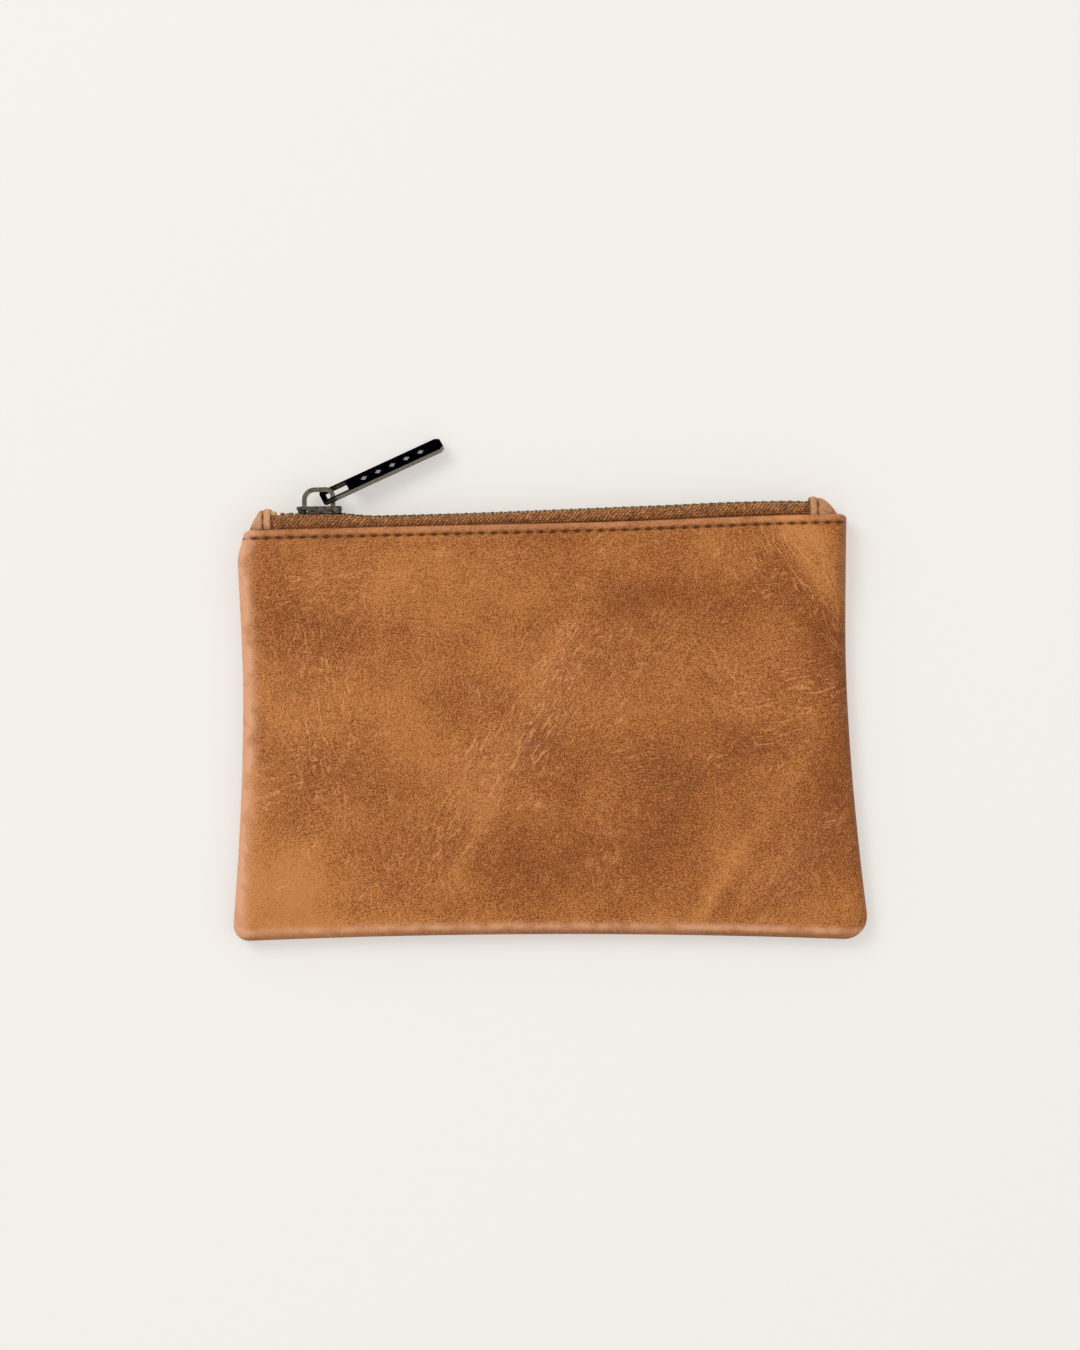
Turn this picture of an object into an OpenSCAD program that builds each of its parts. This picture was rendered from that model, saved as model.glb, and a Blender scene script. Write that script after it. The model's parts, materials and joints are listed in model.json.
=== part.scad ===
// Zippered leather pouch, lying on its back: +X runs along the zip, +Y points at the zip
// and +Z away from the back panel. The origin is on the back face, in its middle.
// Lengths are in millimetres.

/* [Leather] */
// Width of the pouch at its waist, a little above the middle
waist_w = 162.8; // [150:0.2:176]
// Height of the leather, from the middle of the bottom to the edge beside the zip
leather_h = 112.5; // [100:0.5:125]
// How much further each side reaches out at the bottom corners than at the waist
flare = 3.9; // [0:0.1:5]
// How much further each side reaches out just below the zip
shoulder = 0.7; // [0:0.1:1]
// How far the right end of the bottom edge drops below the left end
bottom_drop = 3.3; // [0:0.1:4]
// How far the middle of the bottom edge bows in
bottom_bow = 1.65; // [0:0.05:2]
// Radius of the bottom left corner
left_r = 5; // [4:0.5:8]
// Radius of the bottom right corner
right_r = 7.5; // [4:0.5:8]
// Radius of the corners beside the zip
top_r = 3.2; // [2:0.1:4]
// Thickness of the leather
leather_t = 0.9; // [0.8:0.05:1]
// Width of the hem that is turned in along the zip
hem_w = 8; // [6:0.5:9]
// Radius that the front panel's sides and bottom are turned over
edge_r = 5.5; // [5:0.1:6]

/* [Thickness] */
// Height of the middle of the front panel above the surface
belly_z = 8.5; // [8.3:0.1:9]
// Height of the seam between the two panels
seam_z = 2.3; // [2:0.1:2.6]
// Height of the middle of the zip
chain_z = 5; // [5:0.05:5.2]

/* [Zip] */
// Distance from one tooth to the next on one tape
tooth_pitch = 2.35; // [2.3:0.01:2.5]
// Thickness of one tooth along the zip
tooth_t = 1.05; // [0.9:0.05:1.05]
// Thickness of the tape
tape_t = 0.45; // [0.35:0.05:0.45]
// Length of the puller, from its pivot to its tip
puller_l = 34.9; // [25:0.1:40]
// Width of the puller
puller_w = 5.8; // [5.6:0.1:6]
// Angle between the puller and the zip as it lies
puller_angle = 23.7; // [10:0.1:90]

/* [Stitching] */
// Distance from one stitch to the next
stitch_pitch = 3.2; // [3:0.1:4]
// Length of the thread that shows in one stitch
stitch_l = 2.6; // [2:0.1:2.8]
// Diameter of the thread
thread_d = 0.56; // [0.4:0.02:0.6]

/* [Hidden] */
$fn = 32;

// leather
top_y = 56.6;
bottom_y0 = top_y - leather_h;
side_x = waist_w / 2 + 0.6;
waist_y = 18;
seam_gap = 0.2;
front_edge_z = seam_z + seam_gap / 2;
back_edge_z = seam_z - seam_gap / 2;
rim_w = 1.2;
hem_t = 0.95;
mouth_z = 9.85;
side_fall = 0.6;
stitch_y = top_y - 2.5;

// lining
lining_t = 0.3;
lining_gap = 0.2;
lining_top_y = top_y - 2.8;
lining_inset = 2;

// zip
chain_y = 60;
tooth_half = 1.3;
tooth_head = 0.6;
tooth_leg = 3.1;
slot_half = 0.26;
tape_end_x = 75.5;
tape_y = -14;
tab_x = 73;
tab_end_x = 75.8;
nose_x = -65.5;
slider_l = 12;
splay_max = 1;
first_tooth_x = -69.4;
teeth_n = 61;

// slider and puller
plate_t = 0.9;
plate_y = 1.45;
lip_t = 0.4;
lip_gap = 0.2;
bridge_w = 1.9;
bridge_t = 1.2;
bridge_x0 = -64.2;
bridge_x1 = -55.3;
bridge_top = 7.6;
pivot_x = -58.2;
pivot_y = 4.75;
puller_t = 1.2;
puller_roll = 37;
puller_pitch = 3.4;
slot_x0 = 0.7;
slot_x1 = 6.9;
slot_w = 4.2;

function clamp01(q) = min(1, max(0, q));
function smooth(q) = clamp01(q) * clamp01(q) * (3 - 2 * clamp01(q));

// ---- outline of the panels ----

function bottom_y(x) =
  bottom_y0 - bottom_drop * x / (2 * side_x) + bottom_bow * (1 - pow(x / side_x, 2));
function half_w(y) =
  waist_w / 2 + flare * pow(max(0, (waist_y - y) / 66), 1.75)
  + shoulder * pow(max(0, (y - waist_y) / 30), 1.5);
function corner_r(x) = x < 0 ? left_r : right_r;
function corner_cut(d, r) = d >= r ? 0 : r - sqrt(r * r - pow(r - max(0, d), 2));

// The height of a row that stands the share h of the way up, and its two ends
function row_y(x, h, inset, top) =
  let (low = bottom_y(x) + inset) low + h * (top - low);
function end_x(s, h, inset, top) =
  let (y = row_y(s * side_x, h, inset, top))
  let (low = y - bottom_y(s * side_x) - inset)
  s * (half_w(y) - inset - corner_cut(low, corner_r(s) - inset)
    - corner_cut(top_y - y, top_r));

edge_rows = [for (j = [0:14]) 0.8 * (1 - cos(90 * j / 14))];

function outline(inset, top) = concat(
  [for (h = concat(edge_rows, [0.86, 0.92, 0.96, 0.975, 0.985, 0.994, 1]))
    [end_x(-1, h, inset, top), row_y(-side_x, h, inset, top)]],
  [for (h = concat([1, 0.994, 0.985, 0.975, 0.96, 0.92, 0.86], [for (j = [14:-1:0]) edge_rows[j]]))
    [end_x(1, h, inset, top), row_y(side_x, h, inset, top)]],
  [for (k = [1:15])
    let (x = end_x(1, 0, inset, top) + (end_x(-1, 0, inset, top) - end_x(1, 0, inset, top)) * k / 16)
    [x, bottom_y(x) + inset]]
);

// ---- shape of the front ----

function edge_distance(x, y, inset) =
  let (side = half_w(y) - inset - abs(x))
  let (low = y - bottom_y(x) - inset)
  let (r = corner_r(x) - inset)
  side < r && low < r ? r - norm([r - side, r - low]) : min(side, low);
function turned(q) = sqrt(1 - pow(1 - clamp01(q), 2));
function lift(y) = smooth((y - 24) / 24);
function crown(x, y) =
  belly_z + (mouth_z - belly_z) * lift(y) - side_fall * (1 - lift(y)) * pow(x / side_x, 2);
function layer_z(x, y, inset, drop) =
  front_edge_z + (crown(x, y) - drop - front_edge_z)
    * turned(edge_distance(x, y, inset) / (edge_r - inset));

columns = 13;
function column(c) = sin(90 * (c - columns) / columns);

// One point of a layer of the front: its rim lies level with the seam
function layer_point(h, c, inset, top, drop) =
  let (a = end_x(-1, h, inset, top))
  let (b = end_x(1, h, inset, top))
  let (x = (a + b) / 2 + column(c) * (b - a) / 2)
  let (y = row_y(x, h, inset, top))
  let (rim = h == 0 || c == 0 || c == 2 * columns)
  [x, y, rim ? front_edge_z : layer_z(x, y, inset, drop)];

// Two layers of points, rows by 2 * columns + 1, joined into one closed shell
module shell(outer, inner) {
  across = 2 * columns + 1;
  rows = len(outer) / across;
  all = rows * across;
  function at(r, c) = r * across + c;
  function quad(a, b, c, d) = [[a, b, c], [a, c, d]];
  faces = concat(
    [for (r = [0:rows - 2], c = [0:across - 2])
      each quad(at(r, c), at(r + 1, c), at(r + 1, c + 1), at(r, c + 1))],
    [for (r = [0:rows - 2], c = [0:across - 2])
      each quad(all + at(r, c), all + at(r, c + 1), all + at(r + 1, c + 1), all + at(r + 1, c))],
    [for (c = [0:across - 2])
      each quad(at(0, c), at(0, c + 1), all + at(0, c + 1), all + at(0, c))],
    [for (c = [0:across - 2], r = rows - 1)
      each quad(at(r, c + 1), at(r, c), all + at(r, c), all + at(r, c + 1))],
    [for (r = [0:rows - 2])
      each quad(at(r + 1, 0), at(r, 0), all + at(r, 0), all + at(r + 1, 0))],
    [for (r = [0:rows - 2], c = across - 1)
      each quad(at(r, c), at(r + 1, c), all + at(r + 1, c), all + at(r, c))]
  );
  polyhedron(concat(outer, inner), faces, convexity = 6);
}

// ---- leather ----

module front_panel() {
  hem_h = 1 - hem_w / leather_h;
  turn_h = 1 - 1 / leather_h;
  rows = concat(edge_rows, [0.86, hem_h - 0.004, hem_h, turn_h, 1]);
  function hem_drop(h) = h < hem_h || h > turn_h ? leather_t : leather_t + hem_t;
  outer = [for (h = rows, c = [0:2 * columns]) layer_point(h, c, 0, top_y, 0)];
  inner = [for (h = rows, c = [0:2 * columns])
    layer_point(h, c, leather_t, top_y, hem_drop(h))];
  color("#a8683a") shell(outer, inner);
}

module back_panel() {
  groove_w = thread_d + 0.3;
  color("#a0602f") difference() {
    union() {
      linear_extrude(leather_t) polygon(outline(0, top_y));
      linear_extrude(back_edge_z) difference() {
        polygon(outline(0, top_y - 3));
        polygon(outline(rim_w, top_y + 1));
      }
      translate([0, 0, leather_t - 0.1]) linear_extrude(hem_t + 0.1) intersection() {
        polygon(outline(rim_w - 0.3, top_y - 1));
        translate([-side_x, top_y - hem_w]) square([2 * side_x, hem_w]);
      }
    }
    translate([-side_x, stitch_y - groove_w / 2, -1])
      cube([2 * side_x, groove_w, 1 + thread_d - 0.06]);
  }
}

// ---- lining ----

lining_rows = concat(edge_rows, [0.86, 0.9, 0.95, 0.975]);
function lining_drop(y) = leather_t + lining_gap + 1.5 * smooth((y - 38) / 7);

module front_lining() {
  inset = leather_t + lining_gap + 0.5;
  function lining_points(more) =
    [for (h = lining_rows, c = [0:2 * columns])
      let (p = layer_point(h, c, inset + more, top_y, 0))
      let (z = layer_z(p.x, p.y, inset + more, lining_drop(p.y) + more))
      [p.x, p.y, p.z == front_edge_z ? front_edge_z + lining_gap : z + lining_gap / 2]];
  color("#8a8172") shell(lining_points(0), lining_points(lining_t));
}

module back_lining() {
  low = leather_t + lining_gap / 2;
  high = chain_z - 2.45;
  step_y = top_y - hem_w - 5;
  color("#827a6b") intersection() {
    linear_extrude(chain_z) polygon(outline(lining_inset, lining_top_y));
    translate([-side_x, 0, 0]) rotate([90, 0, 90]) linear_extrude(2 * side_x) polygon([
      [-60, low], [step_y - 4, low], [step_y, high], [60, high],
      [60, high + lining_t], [step_y - 0.2, high + lining_t],
      [step_y - 4.2, low + lining_t], [-60, low + lining_t]
    ]);
  }
}

// ---- zip ----

// How far each row of teeth stands off the middle: nothing where the zip is closed,
// most at the slider's nose
function splay(x) =
  splay_max * smooth((nose_x + 8.5 - x) / 7.5) * smooth((x + tab_x) / 6);

// Across the tape at x, as [out from the middle of the zip, up from it]
function tape_path(x) =
  let (leg = tooth_leg + splay(x))
  let (round_slider = smooth((nose_x + slider_l + 3 - x) / 3) * smooth((x + tab_x) / 4))
  let (out = min(4.6, leg + 0.65 + 0.35 * round_slider))
  [
    [leg - 1.2, 0], [leg + 0.1, 0], [out - 0.25, -0.3], [out, -0.9],
    [out - 0.1, -2], [out - 0.65, -2.75], [3, -3.6], [2.725, -4.5], [2.725, tape_y]
  ];

// A closed ribbon of half-thickness t along a path of points
function unit(v) = v / norm(v);
function across(path, k) =
  let (d = unit(path[min(k + 1, len(path) - 1)] - path[max(k - 1, 0)])) [-d.y, d.x];
function ribbon(path, t) = concat(
  [for (k = [0:len(path) - 1]) path[k] + t * across(path, k)],
  [for (k = [len(path) - 1:-1:0]) path[k] - t * across(path, k)]
);

module zip_tape() {
  stations = concat(
    [-tape_end_x], [for (x = [-74:1.5:-50]) x], [for (x = [-30:20:50]) x], [tape_end_x]
  );
  rings = [for (x = stations) [for (p = ribbon(tape_path(x), tape_t / 2))
    [x, chain_y + p.y, p.x]]];
  n = len(rings[0]);
  last = len(rings) - 1;
  faces = concat(
    [for (r = [0:last - 1], k = [0:n - 1]) each [
      [r * n + k, r * n + (k + 1) % n, (r + 1) * n + (k + 1) % n],
      [r * n + k, (r + 1) * n + (k + 1) % n, (r + 1) * n + k]
    ]],
    [[for (k = [n - 1:-1:0]) k]],
    [[for (k = [0:n - 1]) last * n + k]]
  );
  polyhedron([for (ring = rings) each ring], faces, convexity = 6);
}

module clip(length, low, high) {
  rotate([90, 0, 90]) linear_extrude(length) polygon([
    [-tooth_half, low + 0.4], [-tooth_half + 0.5, low], [tooth_half - 0.5, low],
    [tooth_half, low + 0.4], [tooth_half, high], [slot_half, high], [slot_half, high - 1.4],
    [-slot_half, high - 1.4], [-slot_half, high], [-tooth_half, high]
  ]);
}

module tooth_row(shift) {
  for (k = [0:teeth_n - 1]) {
    x = first_tooth_x + shift + k * tooth_pitch;
    translate([x - tooth_t / 2, chain_y, splay(x)]) clip(tooth_t, -tooth_head, tooth_leg);
  }
}

module top_stop() {
  x = first_tooth_x - 2.6;
  translate([x - 0.8, chain_y, splay(x)]) clip(1.5, 1.2, tooth_leg);
}

module on_front() {
  translate([0, 0, chain_z]) children();
}

module on_back() {
  translate([0, 0, chain_z]) mirror([0, 0, 1]) children();
}

module front_zip_tape() {
  color("#8a5a33") on_front() zip_tape();
}

module back_zip_tape() {
  color("#80522d") on_back() zip_tape();
}

module front_teeth() {
  color("#6b5a33") on_front() tooth_row(0);
}

module back_teeth() {
  color("#6b5a33") on_back() tooth_row(tooth_pitch / 2);
}

module front_top_stop() {
  color("#b08d3c") on_front() top_stop();
}

module back_top_stop() {
  color("#b08d3c") on_back() top_stop();
}

module bottom_stop() {
  stop_half = 2.3;
  color("#b08d3c") translate([tab_end_x - 1.7, chain_y, chain_z]) rotate([90, 0, 90])
    linear_extrude(1.4) difference() {
      square([2 * tooth_half, 2 * stop_half], center = true);
      for (s = [-1, 1])
        translate([-slot_half, s * 2 - 0.6]) square([2 * slot_half, 1.2]);
    }
}

// ---- slider ----

function slider_half_w(x) = tooth_leg + splay(x) + lip_gap + lip_t;

// The slider's outline from above, from its blunt nose to its tail, as [x, out]
module slider_plan(narrower, from_x) {
  tail_x = nose_x + slider_l;
  steps = 12;
  half = [for (k = [0:steps])
    let (x = from_x + (tail_x - from_x) * k / steps)
    [x, slider_half_w(x) - narrower - corner_cut(x - nose_x, 1.2) - corner_cut(tail_x - x, 0.8)]];
  polygon(concat(half, [for (k = [steps:-1:0]) [half[k].x, -half[k].y]]));
}

// Stands a plan drawn as [x, out] between two heights above the middle of the zip
module upright(low, high) {
  translate([0, chain_y + high, chain_z]) rotate([90, 0, 0]) linear_extrude(high - low) children();
}

module slider_body() {
  under_half = 3.55;
  tail_x = nose_x + slider_l;
  lip_x = nose_x + 3;
  top = plate_y + plate_t;
  color("#4a4540") union() {
    upright(plate_y, top) slider_plan(0, nose_x);
    upright(0.4, plate_y + 0.1) difference() {
      slider_plan(0, lip_x);
      slider_plan(lip_t, nose_x);
      translate([tail_x - 1, -tooth_leg - lip_gap]) square([2, 2 * (tooth_leg + lip_gap)]);
    }
    upright(-2.1, -plate_y) translate([nose_x, -under_half]) square([slider_l - 0.4, 2 * under_half]);
    for (s = [-1, 1])
      upright(-plate_y - 0.1, -0.8) translate([nose_x + 8.5, s * (under_half - 0.17) - 0.17])
        square([slider_l - 9, 0.34]);
    upright(-plate_y - 0.1, plate_y + 0.1) polygon([
      [nose_x + 0.1, -0.2], [nose_x + 0.9, -0.28], [nose_x + 2.4, 0],
      [nose_x + 0.9, 0.28], [nose_x + 0.1, 0.2]
    ]);
  }
}

// The bridge's side view: a flat-topped arch with round shoulders
module arch(inset) {
  r0 = 3.4 - inset;
  r1 = 2.5 - inset;
  left = bridge_x0 + inset;
  right = bridge_x1 - inset;
  low = plate_y + plate_t;
  top = bridge_top - inset;
  intersection() {
    translate([left, low]) square([right - left, top - low]);
    union() {
      translate([left + r0, top - r0]) circle(r0);
      translate([right - r1, top - r1]) circle(r1);
      translate([left + r0, low]) square([right - left - r0 - r1, top - low]);
      translate([left, low]) square([r0, top - r0 - low]);
      translate([right - r1, low]) square([r1, top - r1 - low]);
    }
  }
}

module slider_bridge() {
  color("#57504a") translate([0, chain_y, chain_z - bridge_w / 2]) linear_extrude(bridge_w)
    difference() {
      arch(0);
      translate([0, -0.01]) arch(bridge_t);
    }
}

// The puller lies flat in its own frame, with its pivot at the origin
module puller_plate() {
  back = 0.85;
  clip_c = 1.1;
  half = puller_w / 2;
  engrave = 0.12;
  difference() {
    translate([0, 0, -puller_t / 2]) linear_extrude(puller_t) difference() {
      polygon([
        [-back + 0.6, -half], [puller_l - clip_c, -half], [puller_l, -half + clip_c],
        [puller_l, half - clip_c], [puller_l - clip_c, half], [-back + 0.6, half],
        [-back, half - 0.9], [-back, -half + 0.9]
      ]);
      translate([slot_x0, -slot_w / 2]) square([slot_x1 - slot_x0, slot_w]);
    }
    for (k = [0:4])
      translate([slot_x1 + 5 + 4.2 * k, 0, puller_t / 2 - engrave]) rotate([0, 0, 45])
        linear_extrude(1) square(1.5, center = true);
  }
}

module puller() {
  color("#3a3634") translate([pivot_x, chain_y + pivot_y, chain_z]) rotate([0, 0, puller_angle])
    rotate([0, puller_pitch, 0]) rotate([puller_roll - 90, 0, 0]) puller_plate();
}

// ---- end tabs ----

module end_tab() {
  tab_r = 5.4;
  low_y = top_y + 0.2;
  half = 4.7;
  wrap = 4.05;
  round_x = tab_x + 1.5;
  tip_half = 1.3;
  steps = 10;
  side = [for (k = [0:steps])
    let (q = k / steps)
    [tab_end_x + q * (round_x + tab_r - tab_end_x), tip_half + (half - tip_half) * turned(1 - q)]];
  difference() {
    intersection() {
      linear_extrude(2 * chain_z) {
        translate([tab_x, low_y]) square([1.51, tab_r]);
        intersection() {
          translate([round_x, low_y]) circle(tab_r, $fn = 64);
          translate([round_x, low_y]) square(tab_r);
        }
      }
      translate([0, chain_y + 10, chain_z]) rotate([90, 0, 0]) linear_extrude(20)
        polygon(concat(
          [[tab_x, -half], [tab_x, half]], side,
          [for (k = [steps:-1:0]) [side[k].x, -side[k].y]]
        ));
    }
    translate([tab_x - 1, low_y - 1, chain_z - wrap])
      cube([tab_end_x - tab_x + 1, chain_y + tooth_half + 0.15 - low_y + 1, 2 * wrap]);
  }
}

module right_end_tab() {
  color("#a56f46") end_tab();
}

module left_end_tab() {
  color("#a56f46") mirror([1, 0, 0]) end_tab();
}

// ---- thread ----

module stitch_x(x, y, z) {
  translate([x - stitch_l / 2, y, z]) rotate([0, 90, 0]) cylinder(h = stitch_l, d = thread_d);
}

module topstitch_row(z) {
  n = floor(2 * (side_x - edge_r - 1) / stitch_pitch);
  for (k = [0:n - 1])
    stitch_x((k - (n - 1) / 2) * stitch_pitch, stitch_y, z);
}

module front_topstitch() {
  color("#6b5326") topstitch_row(mouth_z + 0.08);
}

module back_topstitch() {
  color("#6b5326") topstitch_row(thread_d / 2 + 0.02);
}

module tab_stitch() {
  rows = [top_y + 1, chain_y - 0.2];
  for (y = rows, s = [-1, 1])
    translate([tab_x + 1.9, y, chain_z + s * 4.62])
      rotate([-90, 0, 0]) cylinder(h = 1.9, d = thread_d * 0.8);
}

module right_tab_stitch() {
  color("#6b5326") tab_stitch();
}

module left_tab_stitch() {
  color("#6b5326") mirror([1, 0, 0]) tab_stitch();
}

// The seam's stitches, half sunk in the back panel's rim
module seam_thread() {
  d = 0.4;
  z = back_edge_z - 0.08;
  middle = rim_w / 2;
  color("#6b5326") {
    for (k = [-23:23])
      let (x = k * stitch_pitch)
      translate([x, bottom_y(x) + middle, z])
        rotate([0, 0, atan(bottom_y(x + 1) - bottom_y(x))]) rotate([0, 90, 0])
          cylinder(h = stitch_l, d = d, center = true);
    for (s = [-1, 1], k = [0:29])
      let (y = top_y - 12 - k * stitch_pitch)
      translate([s * (half_w(y) - middle), y, z])
        rotate([0, 0, s * atan(half_w(y) - half_w(y + 1))]) rotate([90, 0, 0])
          cylinder(h = stitch_l, d = d, center = true);
  }
}

front_panel();
back_panel();
front_lining();
back_lining();
front_zip_tape();
back_zip_tape();
front_teeth();
back_teeth();
front_top_stop();
back_top_stop();
bottom_stop();
slider_body();
slider_bridge();
puller();
left_end_tab();
right_end_tab();
front_topstitch();
back_topstitch();
left_tab_stitch();
right_tab_stitch();
seam_thread();
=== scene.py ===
"""A zippered leather pouch, lying on its back and seen from above.

The CAD frame is the pouch's own: +X along the zip, +Y towards it, +Z up. Lengths below are
in millimetres, and every mesh is turned into metres as it is made.
"""
import json
import math

import bmesh
import bpy
import numpy as np
from mathutils import Matrix, Vector


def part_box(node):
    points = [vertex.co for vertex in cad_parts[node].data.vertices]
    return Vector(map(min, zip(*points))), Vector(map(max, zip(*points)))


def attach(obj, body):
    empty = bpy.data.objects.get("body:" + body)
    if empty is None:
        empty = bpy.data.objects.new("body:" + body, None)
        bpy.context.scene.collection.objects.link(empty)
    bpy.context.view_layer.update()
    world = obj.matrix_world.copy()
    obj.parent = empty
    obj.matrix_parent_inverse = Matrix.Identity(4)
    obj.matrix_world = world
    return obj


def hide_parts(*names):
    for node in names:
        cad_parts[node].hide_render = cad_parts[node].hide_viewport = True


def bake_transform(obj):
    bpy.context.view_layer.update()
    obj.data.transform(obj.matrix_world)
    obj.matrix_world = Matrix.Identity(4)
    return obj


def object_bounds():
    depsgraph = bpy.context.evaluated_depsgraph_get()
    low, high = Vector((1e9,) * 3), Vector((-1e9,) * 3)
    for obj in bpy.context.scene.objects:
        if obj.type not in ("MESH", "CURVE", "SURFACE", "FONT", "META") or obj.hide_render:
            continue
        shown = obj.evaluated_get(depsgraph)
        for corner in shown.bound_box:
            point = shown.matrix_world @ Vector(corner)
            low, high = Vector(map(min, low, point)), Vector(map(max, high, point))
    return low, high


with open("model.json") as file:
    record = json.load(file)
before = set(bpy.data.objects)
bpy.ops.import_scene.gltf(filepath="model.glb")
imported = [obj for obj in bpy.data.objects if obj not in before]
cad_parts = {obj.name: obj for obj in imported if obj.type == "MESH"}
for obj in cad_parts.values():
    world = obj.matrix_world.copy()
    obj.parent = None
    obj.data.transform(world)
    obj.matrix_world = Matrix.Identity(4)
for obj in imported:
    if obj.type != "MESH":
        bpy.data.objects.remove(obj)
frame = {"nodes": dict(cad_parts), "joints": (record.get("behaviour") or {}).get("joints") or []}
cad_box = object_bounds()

MM = 0.001


def span(node):
    """A CAD node's lowest and highest corners, in millimetres."""
    return [np.array(corner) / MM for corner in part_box(node)]


# ---- sizes from the frame

_, panel_hi = span("front_panel")
row_lo, row_hi = span("front_teeth")
_, back_row_hi = span("back_teeth")
TOP_Y = panel_hi[1]  # the leather's edge beside the zip
MOUTH_Z = panel_hi[2]  # the front's height beside the zip
CHAIN_Y = (row_lo[1] + row_hi[1]) / 2
CHAIN_Z = (row_lo[2] + back_row_hi[2]) / 2
TAB_X = span("right_end_tab")[0][0]  # the tabs' inner edges
TAB_OUT = span("right_end_tab")[1][0]
SLIDER_TAIL = span("slider_body")[0][0]  # the slider's lowest x, when it is at rest
TRAVEL = next(j["range_m"][1] for j in frame["joints"] if j["name"] == "slider_slide") / MM
MOUTH_START = -TAB_X  # the open mouth runs from the left tab
MOUTH_END = SLIDER_TAIL + TRAVEL  # to the slider at the end of its travel
MOUTH_MID = (MOUTH_START + MOUTH_END) / 2

# the outline, as in the CAD
WAIST = 81.4
LEATHER_H = 112.5
BOTTOM_Y = TOP_Y - LEATHER_H
SIDE_X = 82.0
FLARE, SHOULDER, DROP, BOW = 3.9, 0.7, 3.3, 1.65
LEFT_R, RIGHT_R, TOP_R = 5.0, 7.5, 1.8
LEFT_LEAN = 2.4  # how far the left side leans in beside the zip
EDGE_DROP, EDGE_RISE = 0.15, 0.8  # the zip's edge: all along, and at its right end
WAIST_Y = 18.0

LEATHER_T = 0.9
FOLD_R = 0.95
FOLD_EASE, FOLD_TUCK = 2.8, 0.35  # the fold flattens and draws in beside the side seams
HEM_W, SEAM_TURN, SIDE_TURN = 8.0, 5.0, 6.0  # what hem, bottom seam and side seams take
BELLY_Z = 8.5
FRONT_RIM_Z, BACK_RIM_Z = 3.1, 1.6  # where each panel's side stands steepest
FRONT_TURN, BACK_TURN = 4.4, 2.4  # how far in each panel turns over
PILLOW = 22.0  # how far in the front goes on rising
STITCH_IN = 2.35  # from the leather's edge to the topstitching
STITCH_PITCH, STITCH_L, THREAD_R, STITCH_SINK = 3.2, 2.6, 0.17, 0.2
STITCH_FIRST, STITCH_LAST = -79.0, 80.5
TOOTH_PITCH, TOOTH_T, TEETH = 2.35, 1.05, 61
FIRST_TOOTH = row_lo[0] + TOOTH_T / 2
TOOTH_HALF, TOOTH_HEAD, TOOTH_LEG = 0.85, 0.6, 3.1


def smooth(q):
    q = np.clip(q, 0, 1)
    return q * q * (3 - 2 * q)


def bump(q):
    """A bell of height 1 and half-width about 1."""
    return np.exp(-np.asarray(q, float) ** 2)


def bottom_y(x):
    return BOTTOM_Y - DROP * x / (2 * SIDE_X) + BOW * (1 - (x / SIDE_X) ** 2)


def top_edge(x):
    return TOP_Y - EDGE_DROP + EDGE_RISE * smooth((x - 12) / 60)


def half_w(y, x):
    """Half the width at the height y, on the side of the middle where x lies."""
    low = np.clip((WAIST_Y - y) / 66, 0, None) ** 1.75
    high = np.clip((y - WAIST_Y) / 30, 0, None) ** 1.5
    lean = LEFT_LEAN * smooth((y - TOP_Y + 9.5) / 11) * (x < 0)
    return WAIST + FLARE * low + SHOULDER * high - lean


def corner_cut(d, r):
    d = np.clip(d, 0, r)
    return r - np.sqrt(np.maximum(r * r - (r - d) ** 2, 0))


def outline_point(h, c, inset):
    """x and y at the share h of the way up and c of the way across, from -1 to 1."""
    ends = []
    for s, r in ((-1, LEFT_R), (1, RIGHT_R)):
        low, high = bottom_y(s * SIDE_X) + inset, top_edge(s * SIDE_X)
        y = low + h * (high - low)
        r = max(r - inset, 0.5)
        cut = corner_cut(y - low, r) + corner_cut(high - y, TOP_R)
        ends.append(s * (half_w(y, s) - inset - cut))
    x = (ends[0] + ends[1]) / 2 + c * (ends[1] - ends[0]) / 2
    low = bottom_y(x) + inset
    return x, low + h * (top_edge(x) - low)


def side_gap(x, y):
    """How far a point lies inside the nearer side seam."""
    return half_w(y, x) - np.abs(x)


def edge_distance(x, y):
    """How far a point lies inside the seam, and how far above the bottom seam alone."""
    side = side_gap(x, y)
    low = y - bottom_y(x)
    r = np.where(x < 0, LEFT_R, RIGHT_R)
    round_corner = r - np.hypot(r - side, r - low)
    return np.where((side < r) & (low < r), round_corner, np.minimum(side, low)), low


def turned(q, n=2.2):
    return (1 - (1 - np.clip(q, 0, 1)) ** n) ** (1 / n)


def aligned(x, y, angle):
    """A place measured along and across a direction, which is in degrees."""
    a = math.radians(angle)
    return x * math.cos(a) + y * math.sin(a), y * math.cos(a) - x * math.sin(a)


# ---- relief

FIELD = 0.25  # a field's spacing
FIELD_LO = (-92.0, -64.0)  # its low corner
FIELD_N = (736, 512)  # its number of samples along x and y


def between(table, i, j):
    """The value at a place between a table's rows, i, and between its columns, j."""
    row, column = i.astype(int), j.astype(int)
    p, q = i - row, j - column
    low = table[row, column] * (1 - p) + table[row + 1, column] * p
    high = table[row, column + 1] * (1 - p) + table[row + 1, column + 1] * p
    return low * (1 - q) + high * q


class Relief:
    """A field over the panel, sampled between its points."""

    def __init__(self, values):
        self.values = values

    def at(self, x, y):
        i = np.clip((x - FIELD_LO[0]) / FIELD, 0, FIELD_N[0] - 1.001)
        j = np.clip((y - FIELD_LO[1]) / FIELD, 0, FIELD_N[1] - 1.001)
        return between(self.values, i, j)


def field_xy():
    x = FIELD_LO[0] + FIELD * np.arange(FIELD_N[0])
    y = FIELD_LO[1] + FIELD * np.arange(FIELD_N[1])
    return np.meshgrid(x, y, indexing="ij")


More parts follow.
